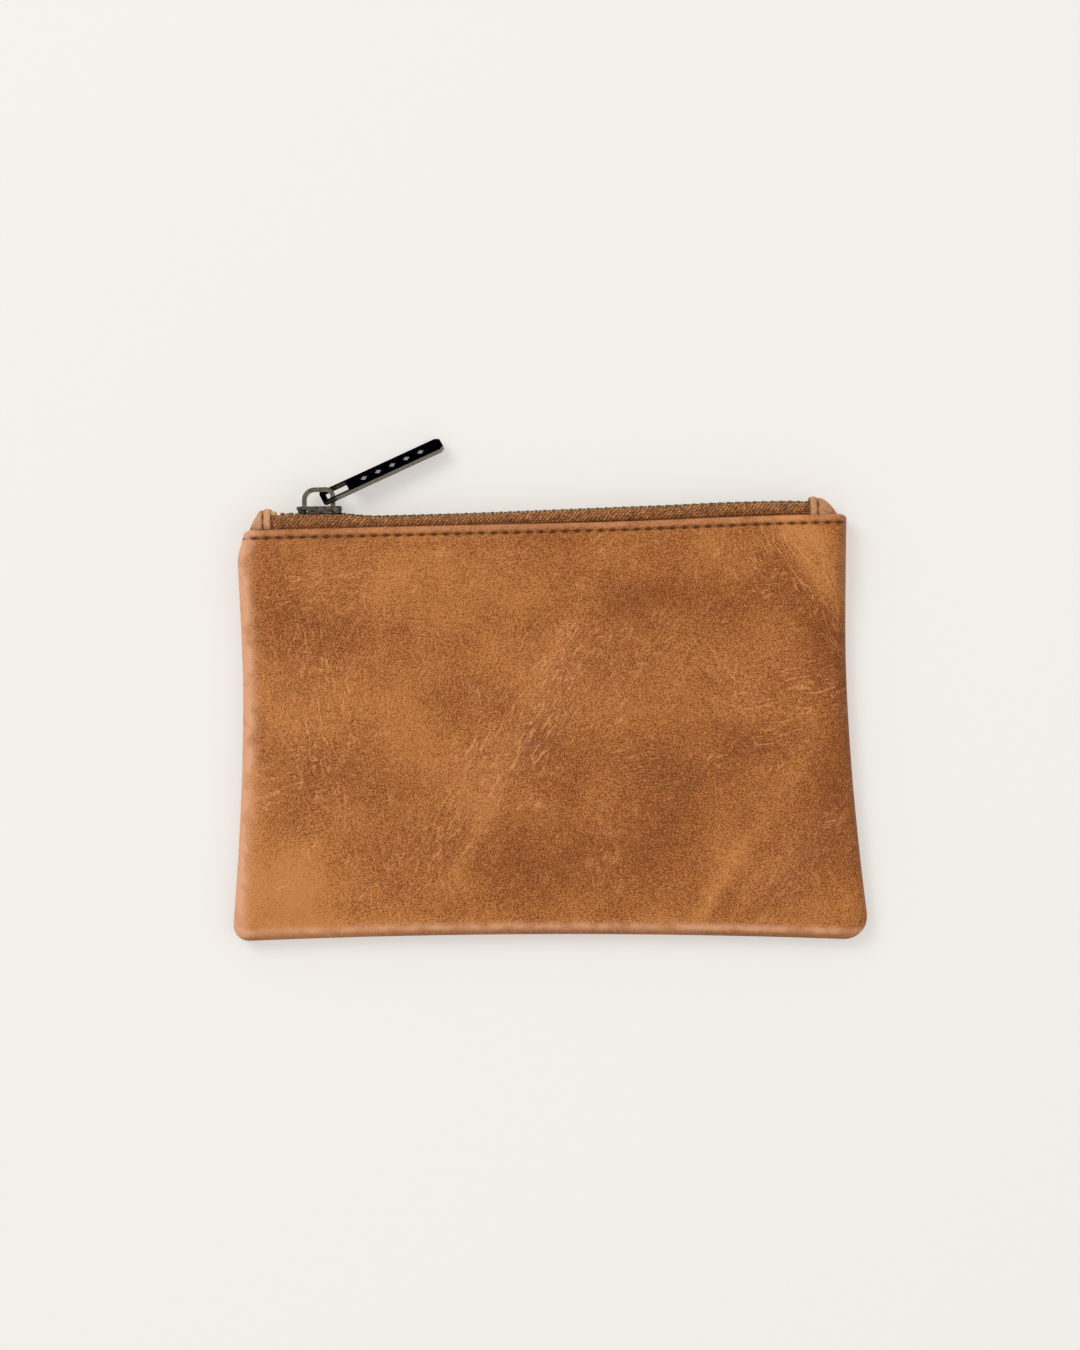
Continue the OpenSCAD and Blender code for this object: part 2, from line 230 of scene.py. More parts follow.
def frequencies():
    return np.fft.fftfreq(FIELD_N[0], FIELD)[:, None], np.fft.rfftfreq(FIELD_N[1], FIELD)[None, :]


def filtered(field, share):
    """The field with the given share of each of its frequencies."""
    return np.fft.irfft2(np.fft.rfft2(field) * share, FIELD_N)


def seeded(seed, share):
    """Seeded noise of unit spread with the given share of each frequency."""
    made = filtered(np.random.default_rng(seed).standard_normal(FIELD_N), share)
    return made / made.std()


def streaks(seed, angle, wave, length):
    """Noise with waves across the angle, in degrees, that hold their line for the length."""
    along, across = aligned(*frequencies(), angle)
    return seeded(seed, bump((np.abs(across) - 1 / wave) * wave / 0.45) * bump(along * length))


def soft_noise(seed, wave):
    return seeded(seed, bump(np.hypot(*frequencies()) * wave))


# Growth wrinkles run in bundles. For each direction, in degrees: its bundles, as centre,
# half-length, half-width and strength
FANS = [
    (55, [(-8, -3, 44, 11, 1.0), (-24, -24, 24, 10, 0.9), (-52, 30, 18, 8, 0.5),
          (60, -40, 15, 7, 0.5), (26, 20, 20, 8, 0.5)]),
    (97, [(-61, 10, 22, 9, 1.0), (-42, -42, 15, 6, 0.7), (15, -35, 16, 7, 0.5),
          (4, 14, 14, 7, 0.4)]),
    (14, [(-68, -8, 18, 9, 0.9), (66, 8, 18, 12, 0.9), (-57, 40, 17, 8, 0.7),
          (-20, 42, 24, 7, 0.4), (24, -8, 12, 8, 0.5)]),
    (-60, [(70, 42, 20, 7, 0.9), (-76, 6, 11, 5, 0.7), (48, 12, 14, 8, 0.5)]),
]

# Soft folds of the whole panel: from, to, half-width, height
FOLDS = [
    ((63, 54), (84, 18), 3.6, -0.55),
    ((70, 54), (85, 30), 3.2, 0.35),
    ((-84, 12), (-72, 0), 2.6, -0.4),
    ((-30, -34), (16, 30), 7.0, 0.3),
    ((-84, 44), (-58, 30), 6.0, -0.3),
    ((34, -50), (66, -12), 8.0, -0.3),
    ((52, -52), (80, -22), 6.0, 0.3),
]


def wrinkle_fields():
    """The wrinkles' height, about -1 to 0, and how strong each direction's bundles are."""
    x, y = field_xy()
    height, masks = np.zeros(FIELD_N), []
    for k, (angle, bundles) in enumerate(FANS):
        ragged = 1 + 0.3 * soft_noise(40 + k, 8)
        mask = np.zeros(FIELD_N)
        for cx, cy, long, wide, power in bundles:
            along, across = aligned(x - cx, y - cy, angle)
            reach = np.hypot(along / long, across / wide) * ragged
            mask = np.maximum(mask, power * smooth((1.5 - reach) / 1.1))
        height -= mask * bump(streaks(60 + k, angle, 2.0, 12.0) / 0.5)
        masks.append(mask)
    return height, masks


def fold_field():
    x, y = field_xy()
    height = np.zeros(FIELD_N)
    for (x0, y0), (x1, y1), wide, high in FOLDS:
        long = math.hypot(x1 - x0, y1 - y0)
        angle = math.degrees(math.atan2(y1 - y0, x1 - x0))
        along, across = aligned(x - x0, y - y0, angle)
        fade = smooth(along / (0.3 * long)) * smooth((long - along) / (0.3 * long))
        height += high * bump(across / wide) * fade
    return height


SLACK_H = 0.5  # height of the slack leather's unevenness
SLACK_WAVE = 9.0
SLACK_INSET = 3.0  # how far inside the outline the sheet ends
SLACK_SCALE = 10.0  # it is simulated this many times larger
SLACK_STEPS = 30
CLOTH = {
    "vertex_group_mass": "held", "quality": 6, "mass": 0.4, "tension_stiffness": 30,
    "compression_stiffness": 30, "shear_stiffness": 12, "bending_stiffness": 3.0,
    "shrink_min": -0.035, "use_pressure": True, "uniform_pressure_force": 0.6,
}


def settled_sheet(rows, columns):
    """Cloth simulation of the front panel: a slightly oversize sheet, held at its seams and
    at the zip, settles under pressure. Returns how far each point moved up or down."""
    h, c = np.meshgrid(np.linspace(0, 1, rows), np.linspace(-1, 1, columns), indexing="ij")
    x, y = outline_point(h, c, SLACK_INSET)
    z = front_height(x, y)
    points = np.stack([x, y, z], -1).reshape(-1, 3) * MM * SLACK_SCALE
    mesh = bpy.data.meshes.new("slack")
    mesh.from_pydata(points.tolist(), [], grid_faces(rows, columns))
    sheet = new_object("slack", mesh)
    held = sheet.vertex_groups.new(name="held")
    rim = (h < 0.02) | (h > 0.95) | (np.abs(c) > 0.97)
    held.add(np.flatnonzero(rim.ravel()).tolist(), 1.0, "REPLACE")
    cloth = sheet.modifiers.new("cloth", "CLOTH")
    for key, value in CLOTH.items():
        setattr(cloth.settings, key, value)
    cloth.collision_settings.use_collision = False
    cloth.point_cache.frame_end = SLACK_STEPS + 10
    scene = bpy.context.scene
    for step in range(1, SLACK_STEPS + 1):
        scene.frame_set(step)
    settled = sheet.evaluated_get(bpy.context.evaluated_depsgraph_get()).to_mesh()
    moved = np.zeros(len(points) * 3)
    settled.vertices.foreach_get("co", moved)
    scene.frame_set(1)
    bpy.data.objects.remove(sheet)
    bpy.data.meshes.remove(mesh)
    return (moved.reshape(-1, 3)[:, 2] / (MM * SLACK_SCALE) - z.ravel()).reshape(rows, columns)


def slack_leather():
    """The settled sheet's unevenness, carried from its rows and columns to a smooth field."""
    rows, columns = 31, 45
    lift = settled_sheet(rows, columns)
    lift -= np.median(lift)
    lift = np.clip(lift / np.percentile(np.abs(lift), 97), -1.2, 1.2) * SLACK_H
    x, y = field_xy()
    low = bottom_y(x) + SLACK_INSET
    up = np.clip((y - low) / (TOP_Y - low), 0, 0.9999)
    across = np.clip((x / (half_w(y, x) - SLACK_INSET) + 1) / 2, 0, 0.9999)
    field = between(lift, up * (rows - 1), across * (columns - 1))
    return filtered(field, bump(np.hypot(*frequencies()) * SLACK_WAVE))


# ---- the front's shape

def front_height(x, y):
    """The front panel's plain outer surface, as in the CAD but with a tighter edge."""
    lift = smooth((y - 24) / 24)
    crown = BELLY_Z + (MOUTH_Z - BELLY_Z) * lift - 0.6 * (1 - lift) * (x / SIDE_X) ** 2
    d, _ = edge_distance(x, y)
    soft = 0.3 * (1 - lift)
    rise = (1 - soft) * turned(d / FRONT_TURN) + soft * turned(d / PILLOW)
    return FRONT_RIM_Z + (crown - FRONT_RIM_Z) * rise


# ---- meshes

def grid_faces(rows, columns, flip=False):
    a = np.arange(rows - 1)[:, None] * columns + np.arange(columns - 1)[None, :]
    quads = np.stack([a, a + 1, a + columns + 1, a + columns], -1).reshape(-1, 4)
    return (quads[:, ::-1] if flip else quads).tolist()


def run_length(points, axis):
    """How far along its row or column each point of a grid lies."""
    gaps = np.linalg.norm(np.diff(points, axis=axis), axis=-1)
    return np.insert(np.cumsum(gaps, axis), 0, 0, axis)


def unit(vectors):
    return vectors / np.maximum(np.linalg.norm(vectors, axis=-1), 1e-9)[..., None]


def new_object(name, data):
    thing = bpy.data.objects.new(name, data)
    bpy.context.scene.collection.objects.link(thing)
    return thing


def make_mesh(name, points, faces, uv=None, fields=None, smooth_angle=50.0):
    """An object from points in millimetres. uv is in millimetres too, one pair a point."""
    mesh = bpy.data.meshes.new(name)
    mesh.from_pydata((np.asarray(points, float) * MM).tolist(), [], faces)
    if uv is not None:
        layer = mesh.uv_layers.new(name="flat")
        corner = np.zeros(len(mesh.loops), int)
        mesh.loops.foreach_get("vertex_index", corner)
        layer.data.foreach_set("uv", (np.asarray(uv, float)[corner] / 10).ravel())
    for key, values in (fields or {}).items():
        made = mesh.attributes.new(key, "FLOAT", "POINT")
        made.data.foreach_set("value", np.asarray(values, np.float32))
    mesh.validate()
    mesh.update()
    mesh.polygons.foreach_set("use_smooth", [True] * len(mesh.polygons))
    mesh.set_sharp_from_angle(angle=math.radians(smooth_angle))
    return new_object(name, mesh)


def steps(runs):
    """Runs of points, each given as (from, to, spacing), joined into one rising list."""
    found = []
    for a, b, gap in runs:
        n = max(1, round((b - a) / gap))
        found += [a + (b - a) * k / n for k in range(n)]
    return np.array(found + [runs[-1][1]])


def turn_steps(r, n=12):
    return [r * (1 - math.cos(math.radians(90 * k / n))) for k in range(n)]


class Skin:
    """A panel's outer face on a grid of rows and columns, with its fold and hem at the top
    and its seam's inward roll round the sides and bottom."""

    def __init__(self, turn, height, relief, roll, spacing, outward):
        width = 2 * WAIST
        edge = turn_steps(turn)
        split = MOUTH_MID + WAIST
        across = steps([(turn, split, spacing), (split, width - turn, spacing)])
        self.split = len(edge) + int(np.argmin(np.abs(across - split)))
        c = 2 * np.concatenate([edge, across, [width - e for e in reversed(edge)]]) / width - 1
        up = np.concatenate([edge, steps([
            (turn, LEATHER_H - HEM_W, spacing),
            (LEATHER_H - HEM_W, LEATHER_H - 4.4, 0.4),
            (LEATHER_H - 4.4, LEATHER_H - 1.0, 0.2),
        ])])
        self.h, self.c = np.meshgrid(up / LEATHER_H, c, indexing="ij")
        x, y = outline_point(self.h, self.c, 0.0)
        plain = np.stack([x, y, height(x, y)], -1)
        normal = unit(np.cross(np.gradient(plain, axis=1), np.gradient(plain, axis=0))) * outward
        fine, self.fields = relief(x, y)
        points = [plain + normal * fine[..., None]]
        clear = len(up) - 10  # the highest row below the rounded corners
        side = side_gap(x[clear], y[clear])
        self.ease = np.maximum(turned(side / FOLD_EASE, 2.0), 0.12)
        deep = FOLD_R * self.ease[:, None]
        inward = deep * [0, 0, -outward] - np.outer((1 - self.ease) * np.sign(c), [FOLD_TUCK, 0, 0])
        for a in np.radians(np.linspace(15, 180, 12)):
            over = deep * [0, math.sin(a), 0] + inward * (1 - math.cos(a))
            points.append((plain[-1] + over)[None])
        leaf = [r for r in range(len(up) - 3, 0, -3) if up[r] > LEATHER_H - HEM_W]
        for r in leaf:
            points.append((plain[r] + 2 * inward)[None])
        self.points = np.concatenate(points, 0)
        self.seam_rows = len(up)
        self.roll = roll
        self.outward = outward
        more = self.points.shape[0] - self.seam_rows
        for key, v in self.fields.items():
            self.fields[key] = np.concatenate([v, np.repeat(v[-1:], more, 0)])
        self.v = run_length(self.points, 0)
        u = run_length(self.points, 1)
        self.u = u - u[:, u.shape[1] // 2][:, None]

    def piece(self, name, first, last, side):
        """The columns from first to last as a closed leather piece. side says which outer
        edges it has: -1 left, 1 right, 0 both."""
        cut = slice(first, last + 1)
        p = self.points[:, cut]
        rows, columns = p.shape[:2]
        points = [p.reshape(-1, 3)]
        uvs = [np.stack([self.u[:, cut], self.v[:, cut]], -1).reshape(-1, 2)]
        fields = {key: [v[:, cut].ravel()] for key, v in self.fields.items()}
        thick = np.full((rows, columns), LEATHER_T)
        thick[self.seam_rows:] *= self.ease[cut]
        faces = grid_faces(rows, columns)
        # round the left side from the top, along the bottom and up the right side
        loop = []
        if side <= 0:
            loop += [(r, 0) for r in range(self.seam_rows - 1, 0, -1)]
        loop += [(0, k) for k in range(columns)]
        if side >= 0:
            loop += [(r, columns - 1) for r in range(1, self.seam_rows)]
        rim = [r * columns + k for r, k in loop]
        h = np.array([self.h[r, 0] for r, _ in loop])
        c = np.array([self.c[0, first + k] for _, k in loop])
        ring, at = rim, len(points[0])
        for inset, z in self.roll:
            x, y = outline_point(h, c, inset)
            points.append(np.stack([x, y, np.full_like(x, z)], -1))
            uvs.append(uvs[0][rim] - np.array([0, inset]))
            for key in fields:
                fields[key].append(fields[key][0][rim])
            new = list(range(at, at + len(loop)))
            faces += [[ring[k], new[k], new[k + 1], ring[k + 1]] for k in range(len(loop) - 1)]
            ring, at = new, at + len(loop)
        if self.outward < 0:
            faces = [f[::-1] for f in faces]
        fields = {key: np.concatenate(v) for key, v in fields.items()}
        thick = np.append(thick, np.full(len(self.roll) * len(loop), LEATHER_T))
        return thicken(name, np.concatenate(points), faces, np.concatenate(uvs), fields, thick)


def thicken(name, points, faces, uv, fields, thickness):
    """A closed solid: the faces, a copy of them pushed in by the thickness, which is one for
    all points or one each, and the rim."""
    quads = np.array(faces)
    a, b, c, d = (points[quads[:, k]] for k in range(4))
    n = np.cross(c - a, d - b)
    normal = np.zeros_like(points)
    np.add.at(normal, quads, n[:, None])
    inner = points - unit(normal) * np.reshape(thickness, (-1, 1))
    total = len(points)
    edges = dict.fromkeys((p, q) for f in faces for p, q in zip(f, f[1:] + f[:1]))
    rim = [[q, p, p + total, q + total] for p, q in edges if (q, p) not in edges]
    every = faces + [[v + total for v in reversed(f)] for f in faces] + rim
    both = {key: np.concatenate([v, v]) for key, v in fields.items()}
    return make_mesh(name, np.concatenate([points, inner]), every, np.concatenate([uv, uv]), both)


def grid_sheet(name, points, u, v, fields, thickness, flip=False):
    """A closed sheet from a grid of points, their places on the flat sheet and their fields."""
    fields = {key: values.ravel() for key, values in fields.items()}
    uv = np.stack([u, v], -1).reshape(-1, 2)
    return thicken(name, points.reshape(-1, 3), grid_faces(*u.shape, flip), uv, fields, thickness)


def stitch_place(x, y):
    """How far a point lies off the topstitching, and along it from the nearest needle hole."""
    return y - top_edge(x) + STITCH_IN, ((x / STITCH_PITCH + 0.5) % 1 - 0.5) * STITCH_PITCH


def stitch_dimples(x, y):
    """The groove that the topstitching pulls into the leather, deepest at its needle holes."""
    off, along = stitch_place(x, y)
    line = bump(off / 0.4)
    hole = bump(along / 0.38) * bump(off / 0.36)
    pillow = 0.25 * np.cos(2 * math.pi * along / STITCH_PITCH) * bump(off / 1.1)
    band = bump((off - STITCH_IN / 2) / 0.85) - 0.6 * bump((off - STITCH_IN) / 0.6)
    below = bump((off + 2.0) / 1.3)
    inside = smooth((side_gap(x, y) - 0.8) / 1.5)
    return inside * (0.14 * band + 0.1 * below - 0.26 * line - 0.75 * hole - 0.12 * pillow)


def stitch_painted_shade(x, y):
    """Painted shade along the row of stitches, darkest at the needle holes."""
    off, along = stitch_place(x, y)
    return 0.55 * bump(off / 0.28) + 1.2 * bump(along / 0.45) * bump(off / 0.3)


# ---- leather panels

# Lighter and darker places in the dye, and painted light along the sides: the strips at the left edge
# are a painted highlight, the strip at the right edge painted shade. Each: centre, half-length,
# half-width, angle, tone
PATCHES = [
    (-72, -40, 19, 15, 0, 1.3), (-76, 20, 40, 6, 90, 0.3), (-60, 40, 16, 7, 0, 0.1),
    (-64, 8, 13, 10, 0, 0.5), (-57, 28, 13, 8, 0, -0.6), (-62, -6, 13, 8, 0, -0.75),
    (-44, 6, 14, 6, -60, 0.4), (-34, 44, 15, 9, 0, 0.55), (-14, 36, 26, 10, 0, 0.25),
    (-28, 10, 9, 7, 0, -0.2), (3, 24, 16, 2.4, 60, 0.4), (-10, -4, 17, 2.6, 64, 0.45),
    (-21, -30, 13, 2.4, 58, 0.6), (-20, -12, 16, 12, 40, 0.1), (-34, -28, 12, 8, 0, -0.3),
    (4, -3, 9, 8, 0, -0.85), (14, 8, 9, 5, 60, 0.4), (12, -17, 8, 3, 60, 0.3),
    (26, -10, 9, 8, 0, -0.65), (36, -22, 13, 10, 60, -0.7), (0, -34, 24, 10, 0, -0.5),
    (14, -39, 13, 6, 0, -0.35), (30, 2, 6, 10, 0, -0.25), (24, 32, 8, 8, 0, -0.3),
    (47, 35, 26, 6, 0, -0.7), (50, 19, 14, 6, 0, 0.4), (52, 7, 14, 6, 0, 0.2),
    (58, -4, 9, 6, 10, -0.9), (60, 50, 20, 7, 0, 0.25), (69, 55, 10, 4, -35, 0.9),
    (72, 43, 17, 2.4, -58, 1.1), (74, 28, 9, 6, -60, -0.7), (79, 8, 30, 6, 90, -0.8),
    (55, -28, 24, 3, 55, 0.45), (62, -36, 18, 3, 60, 0.35), (72, -30, 15, 7, 50, -0.7),
    (58, -46, 9, 5, 0, -0.2), (40, -50, 24, 3, 0, 0.3), (-45, -50, 20, 4, 0, 0.35),
    (22, -16, 8, 6, 0, -0.35), (69, -18, 9, 6, 0, -0.6), (69, 17, 8, 9, 0, -0.55),
    (-12, -32, 9, 7, 0, -0.3), (28, 20, 7, 7, 0, -0.3), (-38, -3, 8, 8, 0, 0.3),
    (-30, -33, 12, 2.2, 58, 0.35), (43, -46, 14, 2.2, 58, 0.7), (51, -47, 10, 2, 58, 0.6),
    (-17, 30, 8, 6, 0, 0.3), (17, -3, 7, 7, 0, 0.25), (77, 42, 14, 1.5, -66, 0.6),
    (-75, -50, 12, 4, 0, 0.5), (72, -49, 10, 4, 0, 0.4), (-79, -20, 22, 2.5, 90, 0.5),
    (-78, 5, 7, 4, -50, -0.6), (-59, -30, 8, 9, 0, -0.35), (-70, 42, 8, 8, 0, -0.35),
    (15, 55, 9, 4, 0, -0.4), (56, -44, 8, 7, 0, -0.35), (-36, 10, 10, 3, -70, 0.3),
]


def tone_at(x, y):
    tone = np.zeros_like(x)
    for cx, cy, long, wide, angle, change in PATCHES:
        along, across = aligned(x - cx, y - cy, angle)
        tone += change * bump(np.hypot(along / long, across / wide))
    return tone + 0.12 * MOTTLE.at(x, y)


def fans_at(x, y):
    return {f"fan_{k}": mask.at(x, y) for k, mask in enumerate(FAN_MASKS)}


def off_hem(x, y):
    return smooth((top_edge(x) - STITCH_IN - 1.8 - y) / 3)


def front_sag(x, y):
    """How the slack leather folds and settles between its seams."""
    d, _ = edge_distance(x, y)
    free = smooth((d - 3) / 8) * off_hem(x, y)
    return (FOLD.at(x, y) + SLACK.at(x, y)) * free


def front_relief(x, y):
    d, low = edge_distance(x, y)
    wrinkle = WRINKLE.at(x, y) * off_hem(x, y) * smooth((d - 1.5) / 3)
    ridge = 0.28 * bump((low - 2.3) / 1.0) - 0.22 * bump((low - 5.6) / 2.0)
    side = side_gap(x, y)
    ridge *= smooth((side - 3) / 6)
    fine = 0.1 * wrinkle + front_sag(x, y) + ridge + stitch_dimples(x, y)
    # Paler here: wear and a painted highlight on the bottom ridge, a painted highlight down the left
    # side alone, wear and a painted highlight on the fold beside the zip, and wear on raised folds
    wear = 1.5 * bump((low - 2.4) / 1.0) + 2.4 * bump((side - 0.8) / 2.6) * (x < 0)
    wear += 0.5 * bump((top_edge(x) - 1 - y) / 0.8) + 0.25 * np.clip(FOLD.at(x, y), 0, 1)
    # Painted shade: darker on the bottom edge's rounding and down the right side, away from the
    # light, and along the stitches
    shade = 0.5 * bump(low / 1.1) + 0.4 * bump(side / 2.5) * (x > 0)
    shade += stitch_painted_shade(x, y)
    return fine, dict(fans_at(x, y), tone=tone_at(x, y), wear=wear, shade=shade)


def back_height(x, y):
    d, _ = edge_distance(x, y)
    return BACK_RIM_Z * (1 - turned(d / BACK_TURN))


def back_relief(x, y):
    d, _ = edge_distance(x, y)
    free = off_hem(x, y) * smooth((d - 2) / 3)
    wrinkle = WRINKLE.at(-x, y * 0.9 - 3) * free
    fine = 0.08 * (wrinkle - 0.1) * free + np.minimum(stitch_dimples(x, y), 0)
    wear = 0.7 * bump((d - 1.2) / 1.0) + 0.3 * np.clip(SCUFF.at(x, y) - 0.6, 0, 1)
    # Painted shade along the stitches
    shade = stitch_painted_shade(x, y)
    tone = tone_at(-x, -y) * 0.7
    return np.minimum(fine, 0), dict(fans_at(-x, y * 0.9 - 3), tone=tone, wear=wear, shade=shade)


def panel_facts(width):
    """A piece's width with its side seam's turn added; the sum is not kept."""
    width = width + SIDE_TURN


def bend_front(thing, node):
    """A front piece in the place of a CAD node, its transform baked into its mesh."""
    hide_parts(node)
    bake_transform(thing)


def ride_back(thing, node):
    """A piece of the back half in the place of a CAD node."""
    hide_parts(node)
    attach(thing, "back_half")


def reach(side, end):
    """From where to where a front piece lies along the zip, which ends at -end and end."""
    return (-end, MOUTH_MID) if side < 0 else (MOUTH_MID, end)


HALVES = (("left", -1), ("right", 1))  # the front's pieces and their sides
PAST_END = 90.0  # beyond both ends of the zip

# the turned seam, from the panel's edge inwards: how far in, and how high
FRONT_ROLL = [(0.04, 2.8), (0.22, 2.52), (0.55, 2.42), (1.1, 2.42)]
BACK_ROLL = [(0.04, 1.85), (0.2, 2.08), (0.5, 2.18), (1.0, 2.2)]


def front_panel():
    skin = Skin(FRONT_TURN, front_height, front_relief, FRONT_ROLL, 0.45, 1)
    ends = (0, skin.split, skin.h.shape[1] - 1)
    for k, (half, side) in enumerate(HALVES):
        thing = skin.piece("front_leather_" + half, ends[k], ends[k + 1], side)
        paint(thing, "leather")
        panel_facts(WAIST - side * MOUTH_MID)
        bend_front(thing, "front_panel")


def back_panel():
    skin = Skin(BACK_TURN, back_height, back_relief, BACK_ROLL, 0.6, -1)
    thing = skin.piece("back_leather", 0, skin.h.shape[1] - 1, 0)
    paint(thing, "leather_back")
    panel_facts(2 * WAIST)
    ride_back(thing, "back_panel")


# ---- lining

LINING_TOP = TOP_Y - 2.8
LINING_T = 0.3
LINING_RIM_Z = 2.75  # the front lining's height beside the seams


def lining_grid(columns, rows, inset, x_from, x_to):
    h, q = np.meshgrid(np.linspace(0, 1, rows), np.linspace(0, 1, columns), indexing="ij")
    low = bottom_y(0) + inset
    top_h = (LINING_TOP - low) / (TOP_Y - low)
    a, _ = outline_point(h * top_h, np.full_like(h, -1.0), inset)
    b, _ = outline_point(h * top_h, np.full_like(h, 1.0), inset)
    x = np.clip(a + (b - a) * (x_from + (x_to - x_from) * q), a, b)
    return outline_point(h * top_h, 2 * (x - a) / (b - a) - 1, inset)


def cloth_sheet(name, x, y, z):
    points = np.stack([x, y, z], -1)
    u, v = run_length(points, 1), run_length(points, 0)
    thing = grid_sheet(name, points, u, v, {}, LINING_T)
    paint(thing, "lining")
    return thing


def front_lining():
    mid = (MOUTH_MID + WAIST) / (2 * WAIST)
    for (half, side), x_from, x_to in zip(HALVES, (0, mid), (mid, 1)):
        x, y = lining_grid(90, 110, LEATHER_T + 1.2, x_from, x_to)
        d, _ = edge_distance(x, y)
        drop = LEATHER_T + 0.45 + 1.6 * smooth((y - 38) / 7)
        drop = drop + 0.15 * np.abs(PUCKER.at(x, y)) * smooth((d - 4) / 5)
        z = front_height(x, y) + front_sag(x, y) - drop
        z = np.where(d < 2.6, LINING_RIM_Z, np.maximum(z, LINING_RIM_Z))
        thing = cloth_sheet("front_lining_" + half, x, y, z)
        bend_front(thing, "front_lining")


def back_lining():
    x, y = lining_grid(150, 110, 2.2, 0, 1)
    d, _ = edge_distance(x, y)
    step = smooth((y - (TOP_Y - HEM_W - 9)) / 4.2)
    z = 1.3 + 1.6 * step + 0.12 * np.abs(PUCKER.at(x, y)) * smooth((d - 3) / 5) * (1 - step)
    ride_back(cloth_sheet("back_lining_cloth", x, y, z), "back_lining")


# ---- zip

TAPE_T = 0.45


def splay(x):
    """How far each row stands off the middle: most where the slider parts the teeth."""
    return smooth((SLIDER_TAIL + 8.5 - x) / 7.5) * smooth((x + TAB_X) / 6)


def bow(x):
    """How far the zip strays up or down from a straight line: it dips beyond the slider."""
    dip = smooth((x - SLIDER_TAIL - 7.5) / 14) * smooth((55 - x) / 95)
    rise = smooth((x - 30) / 25) * smooth((TAB_X - x) / 8)
    return 0.3 * rise - 1.2 * dip


def tape_profile(x):
    """The tape's outer face across, at each x, as out from the middle and up from it."""
    leg = TOOTH_LEG + splay(x)
    room = smooth((SLIDER_TAIL + 15 - x) / 3) * smooth((x + TAB_X) / 4)
    out = np.minimum(4.6, leg + 0.65 + 0.35 * room)
    knots = [
        (leg - 1.2, 0.24), (leg - 0.3, 0.24), (leg + 0.2, 0.2), (out - 0.12, -0.2),
        (out + 0.2, -0.85), (out + 0.16, -1.7), (out - 0.2, -2.6), (out - 0.9, -3.4),
        (2.95, -4.6), (2.95, -9.0), (2.95, -13.9),
    ]
    return np.array([(a + 0 * x, b + 0 * x) for a, b in knots])


def curve_through(knots):
    """A smooth curve through the knots, which are told apart by their first index. It has
    fewer steps past the eighth."""
    last = len(knots) - 1
    found = []
    for k in range(last):
        four = knots[[max(k - 1, 0), k, k + 1, min(k + 2, last)]]
        parts = 5 if k < 8 else 3
        for q in np.arange(parts) / parts:
            weights = [-0.5 * q + q * q - 0.5 * q ** 3, 1 - 2.5 * q * q + 1.5 * q ** 3,
                       0.5 * q + 2 * q * q - 1.5 * q ** 3, 0.5 * q ** 3 - 0.5 * q * q]
            found.append(np.tensordot(weights, four, 1))
    return np.array(found + [knots[-1]])


def knitted(along, across, way):
    """Knitted loops, from 0 to 1: slanting, each wale's set between the next one's."""
    wale = across / 0.66
    uneven = UNEVEN.at(along, across * 1.5 + 20 * way)
    slant = along / 1.05 + 0.5 * np.floor(wale) + 0.6 * (wale % 1) + 0.15 * uneven
    loop = np.abs(np.sin(math.pi * slant)) ** 1.3 * np.sin(math.pi * (wale % 1)) ** 0.45
    return loop * np.clip(0.8 + 0.2 * UNEVEN.at(along + 7, across * 2 - 20 * way), 0.3, 1.2)


def zip_tape(name, way, x_from, x_to, lies_on):
    """One tape between two places along the zip; way is 1 for the front's, -1 the back's."""
    x = np.linspace(x_from, x_to, int((x_to - x_from) / 0.2) + 1)
    curve = curve_through(tape_profile(x))
    out, up = curve[:, 0], curve[:, 1]
    # where the leather's edge comes closer, the tape tucks in behind it
    tuck = 0.45 * (np.maximum(-bow(x), 0) + EDGE_RISE * smooth((x - 12) / 60))
    out = out - tuck * smooth((-0.5 - up) / 2) * smooth((up + 8) / 3)
    up = up + bow(x) * smooth((up + 5) / 2.6)
    across = run_length(np.stack([out, up], -1), 0)
    along = np.broadcast_to(x, across.shape)
    knit = knitted(along, across, way)
    t = unit(np.stack([np.gradient(out, axis=0), np.gradient(up, axis=0)], -1))
    swell = 0.22 * (knit - 0.6) * smooth((9 - across) / 2) * smooth(across / 0.5)
    out = out - t[..., 1] * swell
    up = up + t[..., 0] * swell
    points = np.stack([along, CHAIN_Y + up, CHAIN_Z + way * out], -1)
    thing = grid_sheet(name, points, along, across, {"knit": knit}, TAPE_T, way > 0)
    paint(thing, "zip_tape")
    return thing


def tapes():
    end = span("front_zip_tape")[1][0]
    for half, side in HALVES:
        tape = zip_tape("front_tape_" + half, 1, *reach(side, end), "front_lining_" + half)
        bend_front(tape, "front_zip_tape")
    ride_back(zip_tape("back_tape", -1, -end, end, "back_lining_cloth"), "back_zip_tape")


